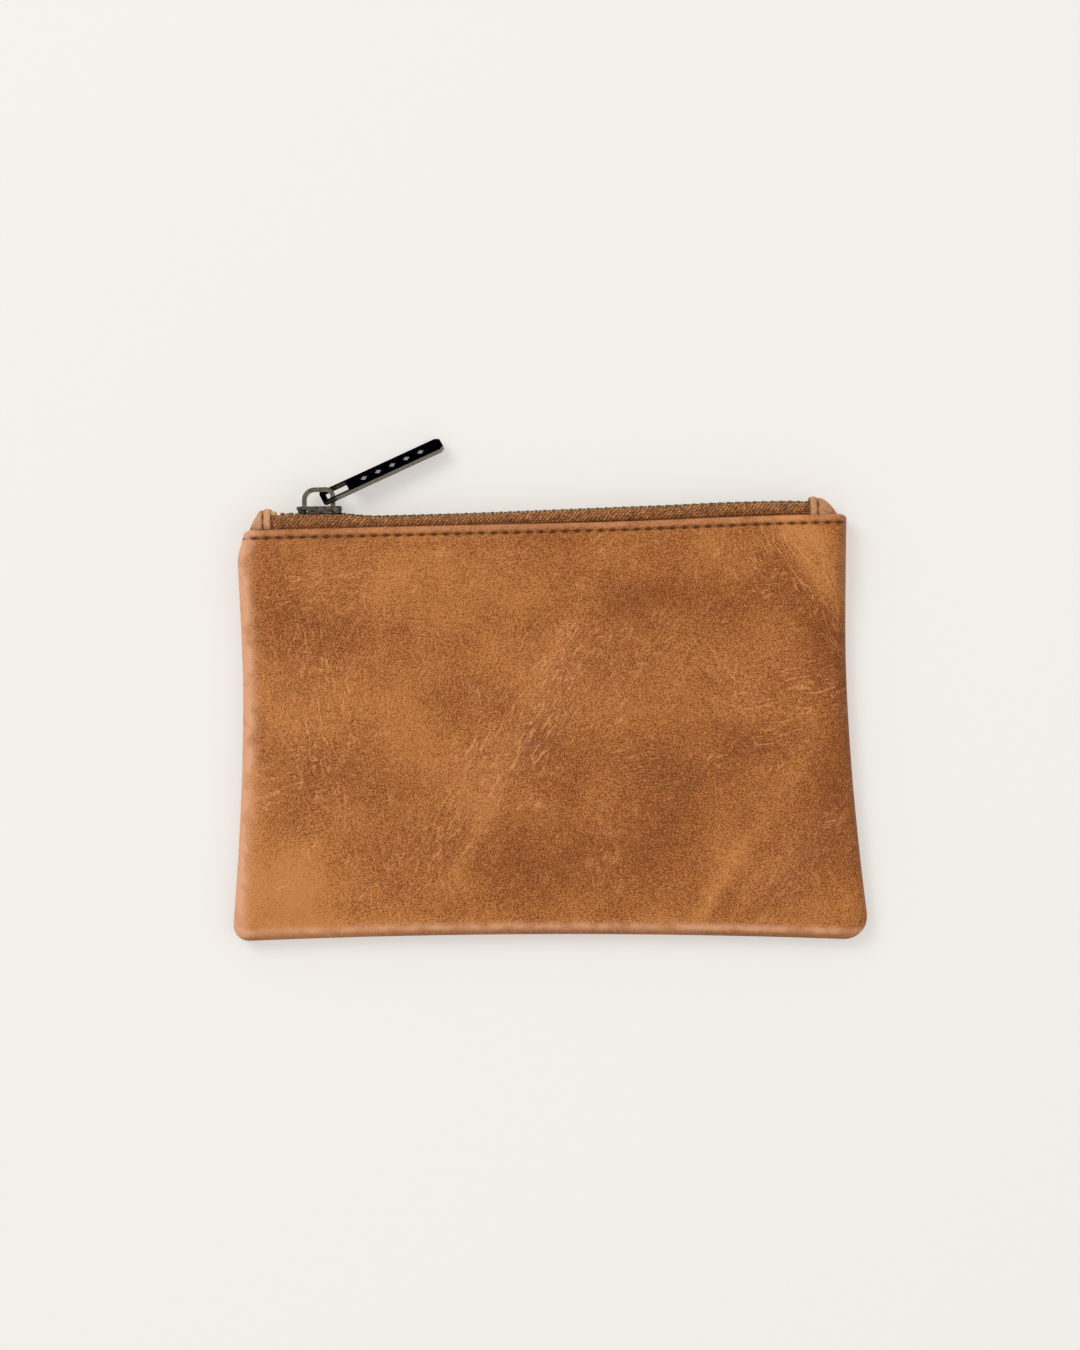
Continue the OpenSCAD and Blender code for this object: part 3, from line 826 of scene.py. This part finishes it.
def one_tooth():
    """One tooth as (points, faces): two legs that clamp the tape's cord, and a head with a
    dimple's shoulders, its edges rounded. Out is +Z here, from the middle of the zip."""
    shape = bmesh.new()
    half, neck = TOOTH_HALF, TOOTH_HALF - 0.42
    side = [
        (half - 0.45, -TOOTH_HEAD), (half, -0.15), (half, 0.55), (neck, 0.95), (neck + 0.1, 1.3),
        (half, 1.75), (half, TOOTH_LEG - 0.45), (half - 0.35, TOOTH_LEG), (0.3, TOOTH_LEG),
        (0.27, 1.7),
    ]
    side += [(-y, z) for y, z in reversed(side)]
    a, b = ([shape.verts.new((x, y, z)) for y, z in side] for x in (-TOOTH_T / 2, TOOTH_T / 2))
    for k in range(len(side)):
        shape.faces.new([a[k - 1], a[k], b[k], b[k - 1]])
    shape.faces.new(a[::-1])
    shape.faces.new(b)
    bmesh.ops.recalc_face_normals(shape, faces=shape.faces)
    bmesh.ops.bevel(shape, geom=list(shape.edges), offset=0.11, segments=2, profile=0.6,
                    affect="EDGES", clamp_overlap=True)
    bmesh.ops.triangulate(shape, faces=[f for f in shape.faces if len(f.verts) > 4])
    points = np.array([v.co for v in shape.verts])
    faces = [[v.index for v in f.verts] for f in shape.faces]
    shape.free()
    return points, faces


def tooth_row(name, way, shift, x_from, x_to):
    base, faces = one_tooth()
    x = FIRST_TOOTH + shift + TOOTH_PITCH * np.arange(TEETH)
    x = x[(x_from <= x) & (x < x_to)]
    points = (base + np.stack([x, bow(x), splay(x)], -1)[:, None]).reshape(-1, 3)
    every = [[v + k * len(base) for v in f[::way]] for k in range(len(x)) for f in faces]
    thing = make_mesh(name, points * (1, 1, way) + (0, CHAIN_Y, CHAIN_Z), every, smooth_angle=40)
    paint(thing, "teeth")
    return thing


def teeth():
    for half, side in HALVES:
        row = tooth_row("front_teeth_" + half, 1, 0, *reach(side, PAST_END))
        bend_front(row, "front_teeth")
    back = tooth_row("back_teeth_row", -1, TOOTH_PITCH / 2, -PAST_END, PAST_END)
    ride_back(back, "back_teeth")


# ---- thread

def thread_mesh(name, paths, radius):
    """Twisted two-ply thread along each path of points."""
    around = 10
    turn = 2 * math.pi * np.arange(around) / around
    cos, sin = np.cos(turn)[:, None], np.sin(turn)[:, None]
    points, faces, uvs = [], [], []
    for path in paths:
        t = unit(np.gradient(path, axis=0))
        aside = unit(np.cross(t, [0.1, 0.3, 1.0]))
        over = np.cross(aside, t)
        run = run_length(path, 0)[:, None]
        r = radius * (0.78 + 0.3 * np.abs(np.cos(turn - run * 2.6)))
        ring = cos * aside[:, None] + sin * over[:, None]
        at = len(points)
        points.extend((path[:, None] + r[..., None] * ring).reshape(-1, 3))
        uvs.extend(np.stack(np.broadcast_arrays(run, turn), -1).reshape(-1, 2))
        for k in range(len(path) - 1):
            for j in range(around):
                a, b = at + k * around + j, at + k * around + (j + 1) % around
                faces.append([a, b, b + around, a + around])
        faces.append(list(range(at + around - 1, at - 1, -1)))
        faces.append(list(range(len(points) - around, len(points))))
    thing = make_mesh(name, points, faces, uvs)
    paint(thing, "thread")
    return thing


def stitch_path(centre, along, out, length):
    """One stitch that rises from its hole, runs nearly flush and dives into the next."""
    q = np.linspace(-1, 1, 15)[:, None]
    rise = 0.05 - 0.62 * np.abs(q) ** 5
    return np.array(centre) + np.array(along) * q * length / 2 + np.array(out) * rise


def topstitch(name, way, x_from, x_to):
    paths = []
    for k in range(math.ceil(STITCH_FIRST / STITCH_PITCH), int(STITCH_LAST / STITCH_PITCH) + 1):
        x = k * STITCH_PITCH
        if not x_from <= x < x_to:
            continue
        spots = np.array([x - 0.5, x, x + 0.5])
        line = top_edge(spots) - STITCH_IN
        height = (front_height if way > 0 else back_height)(spots, line)
        centre = (x, line[1], height[1] - way * STITCH_SINK)
        lean = 0.07 * math.sin(k * 2.4)
        along = unit(np.array([1, line[2] - line[0] + lean, height[2] - height[0]]))
        paths.append(stitch_path(centre, along, (0, 0, way), STITCH_L))
    return thread_mesh(name, paths, THREAD_R)


def topstitches():
    for half, side in HALVES:
        row = topstitch("front_stitch_" + half, 1, *reach(side, PAST_END))
        bend_front(row, "front_topstitch")
    ride_back(topstitch("back_stitch", -1, -PAST_END, PAST_END), "back_topstitch")


# ---- end tabs

TAB_LOW = TOP_Y - 0.12
TAB_R = 5.6
TAB_HALF, TAB_TIP = 4.75, 1.5
TAB_SKIN = 0.6
TAB_SEAM = 1.95  # from the tab's inner edge to its stitches
TAB_STITCHES = (0.8, 3.2)  # their heights


def tab_point(q, a):
    """A place on a tab: q from its inner edge to its tip, a round it from front to back."""
    x = q * (TAB_OUT - TAB_X)
    bend = smooth((x - 2.6) / 4.6)
    high = TAB_R * np.maximum(1 - np.clip((x - 1.6) / 5.6, 0, 1) ** 1.8, 0.03) ** 0.8
    half = TAB_TIP + (TAB_HALF - TAB_TIP) * (1 - bend ** 1.3) ** 0.8
    roll = 0.34 * np.sqrt(np.maximum(1 - ((x - 0.95) / 0.98) ** 2, 0))
    seam = -0.3 * bump((x - TAB_SEAM - 0.1) / 0.22)
    dome = 0.26 * bump((x - 3.5) / 1.4)
    out = roll + seam + dome - 0.3
    n = 3.4
    cos, sin = np.cos(a), np.sin(a)
    z = np.sign(cos) * np.abs(cos) ** (2 / n) * (half + out)
    y = np.abs(sin) ** (2 / n) * (high + out)
    return x, y, z * (1 - 0.07 * bump(y / 0.8))


def end_tab(end, side, shift, short, paling):
    """A tab over one end of the zip. shift is how far its inner edge lies out from the CAD's,
    short how far its tip lies in and worn how much paler than the dye it is."""
    a, q = np.meshgrid(np.linspace(0, math.pi, 61), np.linspace(0, 1, 45), indexing="ij")
    x, y, z = tab_point(q, a)
    inner = TAB_X + shift
    length = TAB_OUT - TAB_X
    stretch = 1 - (shift + short) / length * smooth((x - TAB_SEAM) / 3)
    points = np.stack([side * (inner + x * stretch), TAB_LOW + y, CHAIN_Z + z], -1)
    # Paler on the roll and on the dome: wear and a painted highlight
    wear = paling + 0.5 * bump((x - 0.9) / 0.7) + 0.3 * bump((x - 3.9) / 1.5)
    seam = x - TAB_SEAM - 0.1
    # Painted shade in the seam's crease and along the tab's lower edge, where it meets the panel
    shade = 0.9 * bump(seam / 0.2) + 0.7 * bump(y / 0.6) * (np.abs(z) > 1)
    # Painted shade along the tip, where it tucks into the side seam
    shade += 1.2 * bump((length - x) / 0.4)
    # Painted shade at the needle holes
    for spot in TAB_STITCHES:
        shade += 1.2 * bump(seam / 0.3) * bump((y - spot) / 0.45)
    fields = {"wear": wear, "shade": shade, "tone": 0.25 + 0 * x}
    u, v = run_length(points, 1), run_length(points, 0)
    thing = grid_sheet(end + "_tab", points, u, v, fields, TAB_SKIN, side < 0)
    paint(thing, "tab_leather")
    ride_back(thing, end + "_end_tab")
    paths = []
    for face in (1, -1):
        for spot in TAB_STITCHES:
            z = CHAIN_Z + face * (TAB_HALF - 0.62)
            centre = (side * (inner + TAB_SEAM + 0.1), TAB_LOW + spot, z)
            paths.append(stitch_path(centre, (0, 1, 0), (0, 0, face), 1.2))
    thread = thread_mesh(end + "_tab_stitch", paths, THREAD_R * 0.8)
    ride_back(thread, end + "_tab_stitch")


# ---- materials

class Shader:
    """A procedural material under construction, in the sheet's own centimetres."""

    def __init__(self, name, uv=True):
        self.material = bpy.data.materials.new(name)
        self.material.use_nodes = True
        self.tree = self.material.node_tree
        self.bsdf = next(n for n in self.tree.nodes if n.type == "BSDF_PRINCIPLED")
        if uv:
            self.place = self.add("UVMap", uv_map="flat")["UV"]
        else:
            place = self.add("TexCoord")["Object"]
            self.place = self.mapped(place, (0.01, 0.01, 0.01))

    def feed(self, node, values):
        """Sets or links a node's inputs, which are told by name or number."""
        for key, value in values.items():
            if isinstance(value, bpy.types.NodeSocket):
                self.tree.links.new(value, node.inputs[key])
            else:
                node.inputs[key].default_value = value

    def add(self, kind, values=None, **settings):
        """The outputs of a new node."""
        node = self.tree.nodes.new("ShaderNode" + kind)
        for key, value in settings.items():
            setattr(node, key, value)
        self.feed(node, values or {})
        return node.outputs

    def mapped(self, place, size, turn=0.0):
        """The place in units of the given size, with its first axis turned by an angle."""
        values = {"Vector": place, "Scale": (*size, 1)[:3], "Rotation": (0, 0, turn)}
        return self.add("Mapping", values, vector_type="TEXTURE")["Vector"]

    def noise(self, scale, detail=3.0, rough=0.6, place=None):
        values = {"Vector": place or self.place, "Scale": scale, "Detail": detail, "Roughness": rough}
        return self.add("TexNoise", values)["Fac"]

    def cell_edges(self, scale, place):
        values = {"Vector": place, "Scale": scale}
        return self.add("TexVoronoi", values, feature="DISTANCE_TO_EDGE")["Distance"]

    def warped(self, scale, amount):
        """The place, pushed about by noise."""
        noise = self.add("TexNoise", {"Vector": self.place, "Scale": scale})["Color"]
        values = {0: noise, 1: (amount,) * 3, 2: self.place}
        return self.add("VectorMath", values, operation="MULTIPLY_ADD")["Vector"]

    def attribute(self, name):
        return self.add("Attribute", attribute_name=name)["Fac"]

    def math(self, operation, a, b=0.0, clamp=False):
        return self.add("Math", {0: a, 1: b}, operation=operation, use_clamp=clamp)[0]

    def times(self, a, b, clamp=False):
        return self.math("MULTIPLY", a, b, clamp)

    def plus(self, a, b, clamp=False):
        return self.math("ADD", a, b, clamp)

    def swing(self, value, amount):
        """A noise's departure from its middle, times the amount."""
        return self.times(self.math("SUBTRACT", value, 0.5), amount)

    def dot(self, a, b):
        return self.add("VectorMath", {0: a, 1: b}, operation="DOT_PRODUCT")["Value"]

    def remap(self, value, a, b, low=0.0, high=1.0):
        values = {"Value": value, "From Min": a, "From Max": b, "To Min": low, "To Max": high}
        return self.add("MapRange", values, interpolation_type="SMOOTHSTEP")["Result"]

    def ramp(self, value, stops):
        colour = self.add("ValToRGB", {"Fac": value})["Color"]
        band = colour.node.color_ramp
        while len(band.elements) < len(stops):
            band.elements.new(0.5)
        for element, (at, stop) in zip(band.elements, stops):
            element.position = at
            element.color = (*stop, 1)
        return colour

    def blend(self, amount, a, b):
        """The colour a with the given share of the colour b."""
        a, b = (c if isinstance(c, bpy.types.NodeSocket) else (*c, 1) for c in (a, b))
        return self.add("Mix", {0: amount, 6: a, 7: b}, data_type="RGBA")[2]

    def bump(self, height, strength, depth, under=None):
        """Relief of the given depth, in millimetres, over another relief."""
        values = {"Height": height, "Strength": strength, "Distance": depth * MM}
        if under is not None:
            values["Normal"] = under
        return self.add("Bump", values)["Normal"]

    def finish(self, colour, rough, normal, **fixed):
        values = {key.replace("_", " "): value for key, value in fixed.items()}
        self.feed(self.bsdf, {"Base Color": colour, "Roughness": rough, "Normal": normal, **values})
        return self.material


def leather(name, dark, middle, light):
    s = Shader(name)
    warp = s.warped(6.0, 0.06)
    sway = s.warped(0.9, 0.16)
    cloud = s.noise(0.5, 3, 0.5)
    blotch = s.noise(2.3, 1, 0.5)
    pores = s.noise(22.0, 1, 0.6, place=warp)
    fine = s.noise(40.0, 2, 0.6)
    level = s.swing(cloud, 0.7)
    for part, amount in ((blotch, 0.1), (pores, 2.3), (fine, 4.2)):
        level = s.plus(level, s.swing(part, amount))
    # The dye's lighter and darker places, with painted light down the sides
    level = s.plus(level, s.times(s.attribute("tone"), 0.47))
    level = s.plus(level, 0.5, clamp=True)
    colour = s.ramp(level, [(0.1, dark), (0.5, middle), (0.9, light)])
    pale = tuple(c * 1.25 + 0.035 for c in light)
    # The paler colour of wear and of painted highlights
    rubbed_and_lit = tuple(c * 1.05 + 0.13 for c in light)
    # The colour of painted shade
    deep = tuple(c * 0.3 for c in dark)
    # the grain's network, and the longer lines of the growth wrinkles
    grain = s.remap(s.cell_edges(15.0, warp), 0.0, 0.13, 1.0, 0.0)
    veins = s.times(grain, s.remap(s.noise(4.0, 3, 0.55), 0.35, 0.65, 0.4, 1.0))
    lines = 0.0
    for k, (angle, _) in enumerate(FANS):
        drawn = s.noise(1.0, 1.5, 0.45, place=s.mapped(sway, (1.05, 0.15), math.radians(angle)))
        off = s.math("ABSOLUTE", s.math("SUBTRACT", drawn, 0.5))
        line = s.times(s.remap(off, 0.006, 0.036, 1.0, 0.0), s.attribute(f"fan_{k}"))
        lines = s.math("MAXIMUM", lines, line)
    drawn = s.times(lines, s.remap(pores, 0.3, 0.6, 0.35, 1.0))
    # Wear and painted highlights, mixed toward that paler colour
    paling = s.times(s.attribute("wear"), s.remap(blotch, 0.3, 0.7, 0.3, 0.65), clamp=True)
    colour = s.blend(s.times(veins, 0.36), colour, pale)
    colour = s.blend(s.times(drawn, 0.72), colour, pale)
    colour = s.blend(paling, colour, rubbed_and_lit)
    # Painted shade, mixed toward that dark colour
    colour = s.blend(s.times(s.attribute("shade"), 0.55, clamp=True), colour, deep)
    rough = s.remap(s.plus(s.times(veins, -0.2), blotch), 0.2, 0.8, 0.44, 0.62)
    normal = s.bump(s.noise(2.2, 1, 0.5), 0.32, 0.2)
    for part, strength, depth in (
        (grain, -0.4, 0.05), (lines, 0.8, 0.07), (fine, 0.4, 0.05), (pores, 0.7, 0.1),
    ):
        normal = s.bump(part, strength, depth, normal)
    return s.finish(colour, rough, normal, Specular_IOR_Level=0.2)


def zip_tape_cloth():
    s = Shader("zip_tape")
    knit = s.attribute("knit")
    yarn = s.noise(40.0)
    level = s.plus(s.times(knit, 0.75), s.times(yarn, 0.35))
    level = s.plus(level, s.swing(s.noise(3.0), 0.5))
    # Darkest between the loops: painted shade in the gaps, over the yarn's colour
    colour = s.ramp(level, [
        (0.15, (0.035, 0.011, 0.003)), (0.48, (0.26, 0.083, 0.015)), (0.8, (0.53, 0.2, 0.04)),
        (1.0, (0.74, 0.33, 0.075)),
    ])
    # Painted glints: golden highlights on the loops
    painted_glint = s.times(s.remap(s.noise(13.0, 2, 0.6), 0.52, 0.68), knit)
    colour = s.blend(s.times(painted_glint, 0.6, clamp=True), colour, (0.78, 0.42, 0.11))
    normal = s.bump(yarn, 0.6, 0.08)
    return s.finish(colour, s.remap(yarn, 0.2, 0.8, 0.7, 0.9), normal, Sheen_Weight=0.15)


def lining_cloth():
    s = Shader("lining")
    values = {"Vector": s.mapped(s.place, (0.04, 0.04, 1)), "Scale": 0.35, "Distortion": 0.6,
              "Detail Scale": 2.0}
    warp, weft = (s.add("TexWave", values, bands_direction=way)["Fac"] for way in "XY")
    weave = s.math("MAXIMUM", warp, weft)
    slub = s.noise(8.0, place=s.mapped(s.place, (5, 0.3)))
    colour = s.ramp(s.plus(s.times(weave, 0.5), s.times(slub, 0.5)), [
        (0.2, (0.16, 0.13, 0.095)), (0.6, (0.33, 0.28, 0.21)), (0.95, (0.46, 0.4, 0.31)),
    ])
    normal = s.bump(weave, 0.5, 0.06)
    return s.finish(colour, s.remap(slub, 0.2, 0.8, 0.75, 0.95), normal, Sheen_Weight=0.2)


BARE_METAL = (0.36, 0.35, 0.33)


def metal(name, dark, light, rough, side=None, facing=(0, 0, 1), surface=None, tint=1.0):
    """Metal with a patina; on the slider body its light patches are painted glints. side holds the
    two colours of the edges and of the faces that don't lie square to facing. What is cut into the
    face, which lies surface metres out along it, is bright. tint is the brightness of its reflections
    at a slant."""
    s = Shader(name, uv=False)
    patina = s.noise(9.0, 4, 0.65)
    fine = s.noise(60.0)
    brushed = s.noise(12.0, 2, 0.5, place=s.mapped(s.place, (1, 0.07, 0.07), 0.4))
    level = s.plus(s.times(patina, 0.7), s.times(brushed, 0.3))
    colour = s.ramp(level, [(0.3, dark), (0.7, light)])
    if side is not None:
        where = s.add("TexCoord")
        if surface is not None:
            out = s.dot(where["Object"], facing)
            cut = s.remap(out, surface - 0.05 * MM, surface - 0.09 * MM)
            cut = s.times(cut, s.remap(out, surface - 0.5 * MM, surface - 0.3 * MM))
            colour = s.blend(cut, colour, BARE_METAL)
        # Faces turned aside from facing take the side colours: wear and a painted highlight on the
        # puller's edges, painted shade on the bridge's sides, painted glints on the slider body
        flat = s.remap(s.math("ABSOLUTE", s.dot(where["Normal"], facing)), 0.55, 0.9)
        edge = s.ramp(level, [(0.38, side[0]), (0.62, side[1])])
        colour = s.blend(flat, edge, colour)
    spread = s.remap(s.plus(patina, s.times(fine, 0.4)), 0.3, 1.0, rough - 0.08, rough + 0.14)
    normal = s.bump(patina, 0.15, 0.05, s.bump(fine, 0.12, 0.02))
    return s.finish(colour, spread, normal, Metallic=1.0, Specular_Tint=(tint, tint, tint, 1))


def thread_cotton():
    s = Shader("thread")
    fibre = s.noise(60.0)
    colour = s.ramp(s.plus(s.times(s.noise(10.0), 0.6), s.times(fibre, 0.4)), [
        (0.3, (0.05, 0.021, 0.006)), (0.52, (0.13, 0.056, 0.016)), (0.75, (0.27, 0.135, 0.045)),
    ])
    return s.finish(colour, s.remap(fibre, 0.2, 0.8, 0.6, 0.85), s.bump(fibre, 0.5, 0.04),
                    Specular_IOR_Level=0.15)


def glowing_floor_paper():
    s = Shader("floor", uv=False)
    tooth = s.noise(3.0)
    colour = s.ramp(tooth, [(0.2, (0.446, 0.43, 0.41)), (0.8, (0.452, 0.436, 0.416))])
    # The floor glows as well as reflecting: painted light that lifts the shadows cast on it
    return s.finish(colour, 0.9, s.bump(tooth, 0.02, 0.1), Specular_IOR_Level=0.1,
                    Emission_Color=(0.437, 0.421, 0.402, 1), Emission_Strength=1.0)


MATERIALS = {}
PULLER_ANGLE, PULLER_PITCH, PULLER_ROLL = 23.7, 3.4, -53.0
PULLER_FACE = (
    Matrix.Rotation(math.radians(PULLER_ANGLE), 3, "Z")
    @ Matrix.Rotation(math.radians(PULLER_PITCH), 3, "Y")
    @ Matrix.Rotation(math.radians(PULLER_ROLL), 3, "X")
) @ Vector((0, 0, 1))


def face_level(node, facing):
    """How far out along facing a CAD part's outermost face lies, in metres."""
    return max(Vector(v.co).dot(facing) for v in frame["nodes"][node].data.vertices)


def make_materials():
    tan = ((0.155, 0.033, 0.002), (0.328, 0.091, 0.008), (0.54, 0.207, 0.055))
    MATERIALS.update({
        "leather": leather("leather", *tan),
        "leather_back": leather("leather_back", *tan),
        "tab_leather": leather("tab_leather", (0.22, 0.075, 0.02), (0.42, 0.165, 0.055),
                               (0.56, 0.27, 0.12)),
        "zip_tape": zip_tape_cloth(),
        "lining": lining_cloth(),
        "teeth": metal("teeth", (0.1, 0.056, 0.022), (0.36, 0.22, 0.08), 0.3),
        "stops": metal("stops", (0.4, 0.27, 0.09), (0.66, 0.48, 0.19), 0.28),
        # Slider body: patina, its light patches painted glints
        "gunmetal": metal("gunmetal", (0.02, 0.021, 0.026), (0.2, 0.195, 0.18), 0.16,
                          side=((0.016, 0.014, 0.012), (0.2, 0.17, 0.12)), facing=(0, 1, 0)),
        # Bridge: its sides near black, painted shade
        "bridge": metal("bridge", (0.09, 0.07, 0.05), (0.25, 0.2, 0.15), 0.26,
                        side=((0.02, 0.02, 0.025), (0.03, 0.032, 0.04))),
        # Puller: face near black; edges paler, wear and a painted highlight
        "puller": metal("puller", (0.0025, 0.0035, 0.007), (0.006, 0.008, 0.013), 0.16,
                        side=((0.2, 0.17, 0.125), (0.34, 0.3, 0.23)), facing=PULLER_FACE,
                        surface=face_level("puller", PULLER_FACE), tint=0.3),
        "thread": thread_cotton(),
    })


def paint(thing, name):
    thing.data.materials.clear()
    thing.data.materials.append(MATERIALS[name])


def repaint_cad(node, name, bevel):
    """A carried-over CAD part keeps its shape and gets its finish and softer edges."""
    thing = frame["nodes"][node]
    if not thing.material_slots:
        thing.data.materials.append(MATERIALS[name])
    for each in thing.material_slots:
        each.link = "OBJECT"
        each.material = MATERIALS[name]
    soft = thing.modifiers.new("edges", "BEVEL")
    soft.width = bevel * MM
    soft.segments = 3
    soft.limit_method = "ANGLE"
    soft.angle_limit = math.radians(32)
    soft.harden_normals = True


def hardware():
    for node, name, bevel in (
        ("slider_body", "gunmetal", 0.16), ("slider_bridge", "bridge", 0.28),
        ("puller", "puller", 0.2), ("front_top_stop", "stops", 0.14),
        ("back_top_stop", "stops", 0.14), ("bottom_stop", "stops", 0.16),
        ("seam_thread", "thread", 0.04),
    ):
        repaint_cad(node, name, bevel)


# ---- floor, light and camera

VIEW_CENTRE = (-1.21, 15.75)  # the point of the object under the camera
VIEW_H = 364.5  # how much of the pouch's plane the frame shows
VIEW_TURN = math.radians(-1.3)
CAMERA_H = 0.9


def floor():
    s = 3.0
    mesh = bpy.data.meshes.new("floor")
    mesh.from_pydata([(-s, -s, 0), (s, -s, 0), (s, s, 0), (-s, s, 0)], [], [(0, 1, 2, 3)])
    mesh.materials.append(glowing_floor_paper())
    thing = new_object("floor", mesh)
    thing.location.z = cad_box[0][2] - 0.15 * MM


def area_light(name, place, size, watts):
    """A square light that faces the frame's origin."""
    lamp = bpy.data.lights.new(name, "AREA")
    lamp.size = size
    lamp.energy = watts
    thing = new_object(name, lamp)
    thing.location = place
    thing.rotation_euler = (-Vector(place)).to_track_quat("-Z", "Y").to_euler()


def lights():
    world = bpy.data.worlds.new("studio")
    world.use_nodes = True
    sky = world.node_tree.nodes["Background"]
    sky.inputs["Color"].default_value = (1, 1, 1, 1)
    sky.inputs["Strength"].default_value = 0.65
    bpy.context.scene.world = world
    area_light("key", (-1.3, 1.3, 2.1), 1.3, 34)
    area_light("fill", (1.6, -0.4, 1.9), 1.6, 6)


def camera():
    lens = bpy.data.cameras.new("camera")
    lens.lens = lens.sensor_width * CAMERA_H / (VIEW_H * MM)
    lens.clip_start = 0.01
    thing = new_object("camera", lens)
    thing.location = (VIEW_CENTRE[0] * MM, VIEW_CENTRE[1] * MM, CAMERA_H + FRONT_RIM_Z * MM)
    thing.rotation_euler = (0, 0, VIEW_TURN)
    bpy.context.scene.camera = thing


# ---- the scene

wrinkles, fan_masks = wrinkle_fields()
WRINKLE = Relief(wrinkles)
FAN_MASKS = [Relief(mask) for mask in fan_masks]
FOLD = Relief(fold_field())
MOTTLE = Relief(soft_noise(7, 16))
SCUFF = Relief(soft_noise(8, 5))
PUCKER = Relief(streaks(9, 80, 9.0, 14.0))
UNEVEN = Relief(soft_noise(10, 1.3))
SLACK = Relief(slack_leather())

make_materials()
front_panel()
back_panel()
front_lining()
back_lining()
tapes()
teeth()
topstitches()
end_tab("left", -1, shift=-0.4, short=1.6, paling=0.5)
end_tab("right", 1, shift=-0.7, short=0, paling=0)
hardware()
floor()
lights()
camera()
bpy.context.scene.view_settings.view_transform = "Standard"
